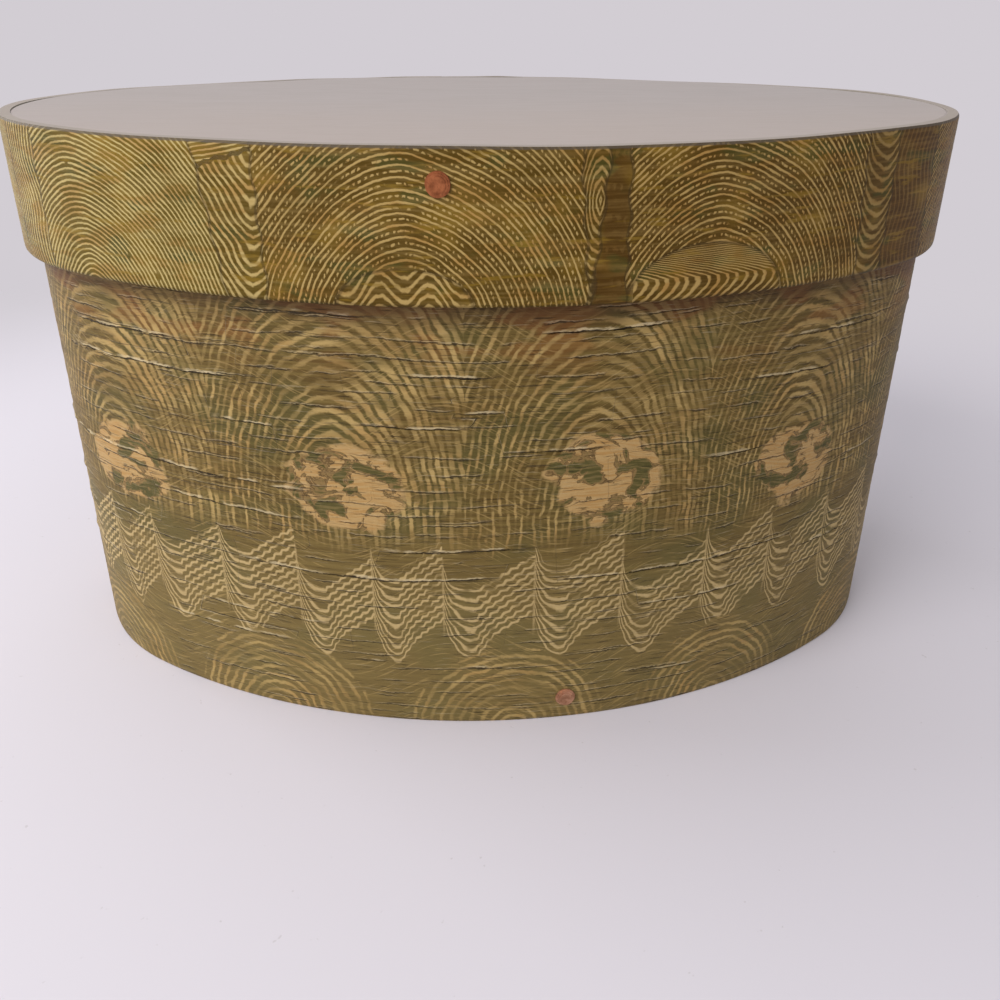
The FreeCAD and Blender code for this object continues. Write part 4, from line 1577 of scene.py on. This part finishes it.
@dataclass
class Tacks:
    """The copper tacks: pointed ones into the boards, clinched ones through the laps."""

    head_radius: float = 2.6
    head_height: float = 0.9
    shank: float = 0.55
    length: float = 9.5
    point: float = 0.15
    clinch: tuple[float, float, float] = (2.0, 3.2, 0.3)
    clinch_depth: float = 5.46
    body_depth: float = 3.3
    lap_depths: tuple[float, float] = (0.6, -5.4)
    lid_level: float = 127.7
    foot_level: float = 6.2
    lid_front: float = -13.0
    foot_front: float = 15.2
    back: float = 60
    finger_level: float = 13.1
    finger_pitch: float = 26.143
    lid_finger_level: float = 119.5
    copper: Copper = field(default_factory=Copper)

    def head(self, name: str) -> bpy.types.Object:
        """Forms a head: a disc drawn up, inset and bevelled, then hammered uneven.

        Args:
            name: The piece's name.

        Returns:
            The head, with its underside on the XY plane.
        """
        select_none()
        bpy.ops.mesh.primitive_circle_add(vertices=36, radius=self.head_radius * MM * 0.97,
                                          fill_type="NGON")
        tack = bpy.context.object
        tack.name = tack.data.name = name
        bpy.ops.object.mode_set(mode="EDIT")
        bpy.ops.mesh.select_mode(type="FACE")
        bpy.ops.mesh.select_all(action="SELECT")
        for rise, inset in ((0.22, 0.12), (0.20, 0.32), (0.20, 0.5), (0.13, 0.6)):
            bpy.ops.mesh.extrude_region_move(TRANSFORM_OT_translate={"value": (0, 0, rise * MM)})
            bpy.ops.mesh.inset(thickness=inset * MM)
        bpy.ops.mesh.inset(thickness=0.45 * MM)
        bpy.ops.mesh.poke()
        bpy.ops.mesh.select_all(action="SELECT")
        bpy.ops.mesh.normals_make_consistent(inside=False)
        bpy.ops.object.mode_set(mode="OBJECT")
        places = points_of(tack) / MM
        angle = np.arctan2(places[:, 1], places[:, 0])
        radius = np.hypot(places[:, 0], places[:, 1])
        uneven = 1 - 0.05 * (1 + drift(np.cos(angle), np.sin(angle), 0.7, 0.7, 4.4))
        struck = 0.16 * drift(places[:, 0], places[:, 1], 1.3, 1.3, 8.8)
        lift = places[:, 2] * (1 + np.where(places[:, 2] > 0.3, struck, 0))
        dent = np.where(places[:, 2] > 0.5, 0.05 * np.cos(places[:, 0] * 2.1 + places[:, 1]), 0)
        places[:, 0] = radius * uneven * np.cos(angle)
        places[:, 1] = radius * uneven * np.sin(angle)
        places[:, 2] = np.clip(lift - np.abs(dent), 0, self.head_height)
        move_points(tack, places * MM)
        return tack

    def add_shank(self, tack: bpy.types.Object, length: float, end: float) -> None:
        """Adds the square shank below the head, which tapers to its end.

        Args:
            tack: The tack.
            length: How long the shank is.
            end: Half its width at the end.
        """
        activate(tack)
        bpy.ops.object.mode_set(mode="EDIT")
        bpy.ops.mesh.select_all(action="DESELECT")
        wide = 2 * self.shank * MM
        bpy.ops.mesh.primitive_cube_add(size=1, location=(0, 0, -length / 2 * MM),
                                        scale=(wide, wide, length * MM))
        bpy.ops.mesh.bevel(offset=0.12 * MM, segments=1)
        bpy.ops.object.mode_set(mode="OBJECT")
        places = points_of(tack) / MM
        lower = places[:, 2] < -0.01
        share = np.where(lower, np.clip(-places[:, 2] / length, 0, 1), 0)
        narrow = 1 - share * (1 - end / self.shank)
        places[:, :2] *= narrow[:, None]
        move_points(tack, places * MM)

    def add_clinch(self, tack: bpy.types.Object) -> None:
        """Adds the end that was turned over and hammered flat inside the band.

        Args:
            tack: The tack.
        """
        wide, tall, thick = self.clinch
        activate(tack)
        bpy.ops.object.mode_set(mode="EDIT")
        bpy.ops.mesh.select_all(action="DESELECT")
        bpy.ops.mesh.primitive_cube_add(
            size=1, location=(0, 0, -(self.clinch_depth + thick / 2) * MM),
            scale=(wide * MM, tall * MM, thick * MM))
        bpy.ops.mesh.subdivide(number_cuts=4)
        bpy.ops.object.mode_set(mode="OBJECT")
        places = points_of(tack) / MM
        flat = (places[:, 2] <= -self.clinch_depth + 0.001) & (np.abs(places[:, 1]) > self.shank)
        taper = np.clip(1 - ((np.abs(places[:, 1]) - self.shank) / (tall / 2)) ** 2 * 0.8, 0.2, 1)
        places[:, 0] *= np.where(flat, taper, 1)
        move_points(tack, places * MM)

    def patterns(self) -> tuple[bpy.types.Object, bpy.types.Object]:
        """One finished tack of each kind, to copy from.

        Returns:
            The pointed tack and the clinched one.
        """
        pointed = self.head("pointed_tack")
        self.add_shank(pointed, self.length, self.point)
        clinched = self.head("clinched_tack")
        self.add_shank(clinched, self.clinch_depth, self.shank)
        self.add_clinch(clinched)
        for tack in (pointed, clinched):
            activate(tack)
            bpy.ops.object.shade_smooth_by_angle(angle=math.radians(30))
        return pointed, clinched

    def board_seats(self) -> list[Seat]:
        """The seats of the tacks that hold the two boards.

        Returns:
            Four seats on the lid and four at the foot.
        """
        made = []
        for part, depth, level, front, body in (
                ("lid", 0.0, self.lid_level, self.lid_front, "lid"),
                ("bottom", self.body_depth, self.foot_level, self.foot_front, "box")):
            radius = OVAL.side_radius - depth
            for end, angle in (("front", math.asin(front / radius)), ("right", math.pi / 2),
                               ("back", math.pi - math.asin(self.back / radius)),
                               ("left", -math.pi / 2)):
                made.append(Seat(f"{part}_tack_{end}", angle, depth, level, body))
        return made

    def lap_seats(self) -> list[Seat]:
        """The seats of the tacks through the fingers of the two laps.

        Returns:
            Two seats for each finger.
        """
        made = []
        body_lap, lid_lap = self.lap_depths
        levels = [(f"body_finger_{n + 1}", self.finger_level + self.finger_pitch * n, body_lap,
                   (-16, 14), "box") for n in range(4)]
        levels.append(("lid_finger", self.lid_finger_level, lid_lap, (-6, 14), "lid"))
        for finger, level, depth, places, body in levels:
            for end, x in zip(("root", "tip"), places):
                angle = math.pi - math.asin(x / (OVAL.side_radius - depth))
                made.append(Seat(f"{finger}_{end}_tack", angle, depth, level, body))
        return made

    def build(self) -> None:
        """Drives a copy of the right tack into every seat."""
        finish = self.copper.make()
        patterns = self.patterns()
        chance = random.Random(5)
        for pattern, seats in zip(patterns, (self.board_seats(), self.lap_seats())):
            pattern.data.materials.append(finish)
            for seat in seats:
                tack = bpy.data.objects.new(seat.node + "_copper", pattern.data.copy())
                bpy.context.scene.collection.objects.link(tack)
                spin = 0.0 if pattern is patterns[1] else chance.uniform(0, 2 * math.pi)
                tack.data.transform(seat.matrix(spin))
                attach(tack, seat.body)
                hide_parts(seat.node)
                log.info("%s", tack.name)
        for pattern in patterns:
            bpy.data.objects.remove(pattern)


@dataclass
class LidBoard:
    """The lid's board, levelled with its band and painted over with it."""

    band: LidBand
    top: float = 134.22
    thickness: float = 9.5
    edge: float = 0.4
    worn: float = 0.09
    points: int = 320
    # Pale grey paint; its warm colour towards the front is painted reflection, less of the backdrop's glare
    # on the near part of the top.
    finish: BoardFinish = BoardFinish(
        "pale_board", colour(172, 163, 160), colour(156, 147, 142), colour(180, 165, 156),
        colour(140, 131, 124), 0.5, 0.3, 0.25)

    def build(self) -> None:
        """Cuts the board to the inside of the band and puts it in its node's place."""
        select_none()
        bpy.ops.mesh.primitive_circle_add(vertices=self.points, radius=1, fill_type="NGON")
        board = bpy.context.object
        board.name = board.data.name = "lid_board_level"
        turn = np.arctan2(*points_of(board)[:, :2].T)
        along = turn / math.pi * self.band.half
        depth = self.band.wall * (1 - self.band.bulge(along))
        x, y = OVAL.place(OVAL.angle(along, self.band.face), depth)
        under = np.full(len(x), self.top - self.thickness)
        move_points(board, np.stack([x, y, under], axis=1) * MM)
        bpy.ops.object.mode_set(mode="EDIT")
        bpy.ops.mesh.select_mode(type="FACE")
        bpy.ops.mesh.select_all(action="SELECT")
        bpy.ops.mesh.extrude_region_move(
            TRANSFORM_OT_translate={"value": (0, 0, (self.thickness - self.worn) * MM)})
        bpy.ops.mesh.inset(thickness=self.edge * MM)
        bpy.ops.transform.translate(value=(0, 0, self.worn * MM))
        bpy.ops.mesh.select_all(action="SELECT")
        bpy.ops.mesh.normals_make_consistent(inside=False)
        bpy.ops.object.mode_set(mode="OBJECT")
        board.data.materials.append(self.finish.make())
        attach(board, "lid")
        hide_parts("lid_board")
        log.info("%s", board.name)


@dataclass
class BottomBoard:
    """The body's bottom board, whose CAD shape is right: it only gets its finish."""

    finish: BoardFinish = BoardFinish(
        "bottom_wood", colour(186, 158, 118), colour(142, 110, 74), colour(170, 140, 100),
        colour(96, 74, 50), 0.65, 0.7, 0.3)

    def dress(self) -> None:
        """Gives the board its finish."""
        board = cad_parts["bottom_board"]
        board.data.materials.clear()
        board.data.materials.append(self.finish.make())
        log.info("bottom_board: %s", self.finish.name)


@dataclass
class Studio:
    """The plain pale floor, the soft lamps and the camera."""

    floor_colour: Colour = colour(219, 214, 223)
    backdrop: Colour = colour(210, 205, 211)
    ambient: float = 0.55
    lens: float = 35.718
    place: tuple[float, float, float] = (-13.80, -263.24, 160.17)
    pitch: float = 0.47909
    yaw: float = 0.06688
    roll: float = 0.00591

    def floor(self) -> None:
        """Lays the floor, a plain pale table top with faint specks, which far off
        looks to the eye as pale as the backdrop."""
        select_none()
        bpy.ops.mesh.primitive_plane_add(size=60, location=(0, 0, 0))
        table = bpy.context.object
        table.name = "table"
        g = Graph("pale_table")
        x, y, _ = g.place()
        speck = g.smooth(g.noise(x * 0.35, y * 0.35, 1.0, 2, 0.8), 0.70, 0.76)
        base = g.blend(speck * 0.25, self.floor_colour, colour(150, 140, 138))
        g.finish(base, 0.6)
        far = g.smooth(g.maths("SQRT", x * x + y * y), 200.0, 420.0)
        seen = Value(g, g.node("ShaderNodeLightPath").outputs["Is Camera Ray"])
        glow = g.node("ShaderNodeEmission", {"Color": self.backdrop, "Strength": 1.0})
        out = next(node for node in g.tree.nodes if node.type == "OUTPUT_MATERIAL")
        near = Value(g, out.inputs[0].links[0].from_socket)
        mix = g.node("ShaderNodeMixShader", {0: far * seen, 1: near,
                                             2: Value(g, glow.outputs[0])})
        g.put(out.inputs[0], Value(g, mix.outputs[0]))
        table.data.materials.append(g.material)

    def lamp(self, name: str, place: Vector, size: float, power: float, tint: Colour,
             mirrored: bool = True) -> None:
        """Hangs a soft square lamp that looks at the box.

        Args:
            name: Its name.
            place: Where it hangs, in metres.
            size: Its side, in metres.
            power: Its power, in watts.
            tint: Its colour.
            mirrored: Whether glossy faces mirror it.
        """
        light = bpy.data.lights.new(name, "AREA")
        light.shape, light.size, light.energy, light.color = "SQUARE", size, power, tint[:3]
        lamp = bpy.data.objects.new(name, light)
        bpy.context.scene.collection.objects.link(lamp)
        lamp.location, lamp.visible_glossy = place, mirrored
        lamp.rotation_euler = (Vector((0, 0, 0.06)) - place).to_track_quat("-Z", "Y").to_euler()

    def sky(self) -> None:
        """Lights all round, and shows the eye and shiny things a pale backdrop."""
        g = Graph("studio", world=True)
        bpy.context.scene.world = g.material
        path = g.node("ShaderNodeLightPath")
        seen = g.most(*(Value(g, path.outputs[f"Is {kind} Ray"])
                        for kind in ("Camera", "Glossy", "Transmission")))
        soft, pale = (Value(g, g.node("ShaderNodeBackground", {0: tone, 1: power}).outputs[0])
                      for tone, power in (((1, 1, 1, 1), self.ambient), (self.backdrop, 1.0)))
        mix = g.node("ShaderNodeMixShader", {0: seen, 1: soft, 2: pale})
        g.node("ShaderNodeOutputWorld", {0: Value(g, mix.outputs[0])})

    def camera(self) -> None:
        """Stands the camera where the photograph was taken."""
        forward = Vector((math.sin(self.yaw) * math.cos(self.pitch),
                          math.cos(self.yaw) * math.cos(self.pitch), -math.sin(self.pitch)))
        right = Vector((math.cos(self.yaw), -math.sin(self.yaw), 0))
        up = right.cross(forward)
        turned_right = right * math.cos(self.roll) + up * math.sin(self.roll)
        turned_up = up * math.cos(self.roll) - right * math.sin(self.roll)
        data = bpy.data.cameras.new("photo_camera")
        data.lens, data.sensor_width, data.clip_start = self.lens, 36.0, 0.01
        camera = bpy.data.objects.new("photo_camera", data)
        bpy.context.scene.collection.objects.link(camera)
        turn = Matrix((turned_right, turned_up, -forward)).transposed().to_4x4()
        camera.matrix_world = Matrix.Translation(Vector(self.place) * MM) @ turn
        bpy.context.scene.camera = camera

    def build(self) -> None:
        """Sets up the whole studio."""
        bpy.context.scene.view_settings.view_transform = "Standard"
        self.camera()
        self.floor()
        self.sky()
        self.lamp("key_lamp", Vector((-0.85, -0.78, 0.82)), 0.9, 14.0, (1, 0.99, 0.97, 1))
        self.lamp("window_lamp", Vector((-1.1, 0.45, 0.55)), 0.8, 7.0, (0.97, 0.98, 1, 1))
        self.lamp("back_lamp", Vector((0.35, 1.3, 0.2)), 0.8, 3.5, (1, 1, 1, 1), False)
        log.info("studio")


def main() -> None:
    """Builds the box, piece by piece, and its studio."""
    logging.basicConfig(level=logging.INFO, format="%(message)s")
    BodyBand().build(BodyPaint().make(), BareWood().make(), "box", "body_band")
    rim = BareWood("lid_rim", colour(176, 166, 160), colour(162, 151, 143), colour(158, 147, 137))
    lid = LidBand(rim=rim.make())
    lid.build(LidPaint().make(), BareWood("lid_inside", rim=lid.height).make(), "lid", "lid_band")
    LidBoard(lid).build()
    BottomBoard().dress()
    Tacks().build()
    Studio().build()


if __name__ == "__main__":
    main()
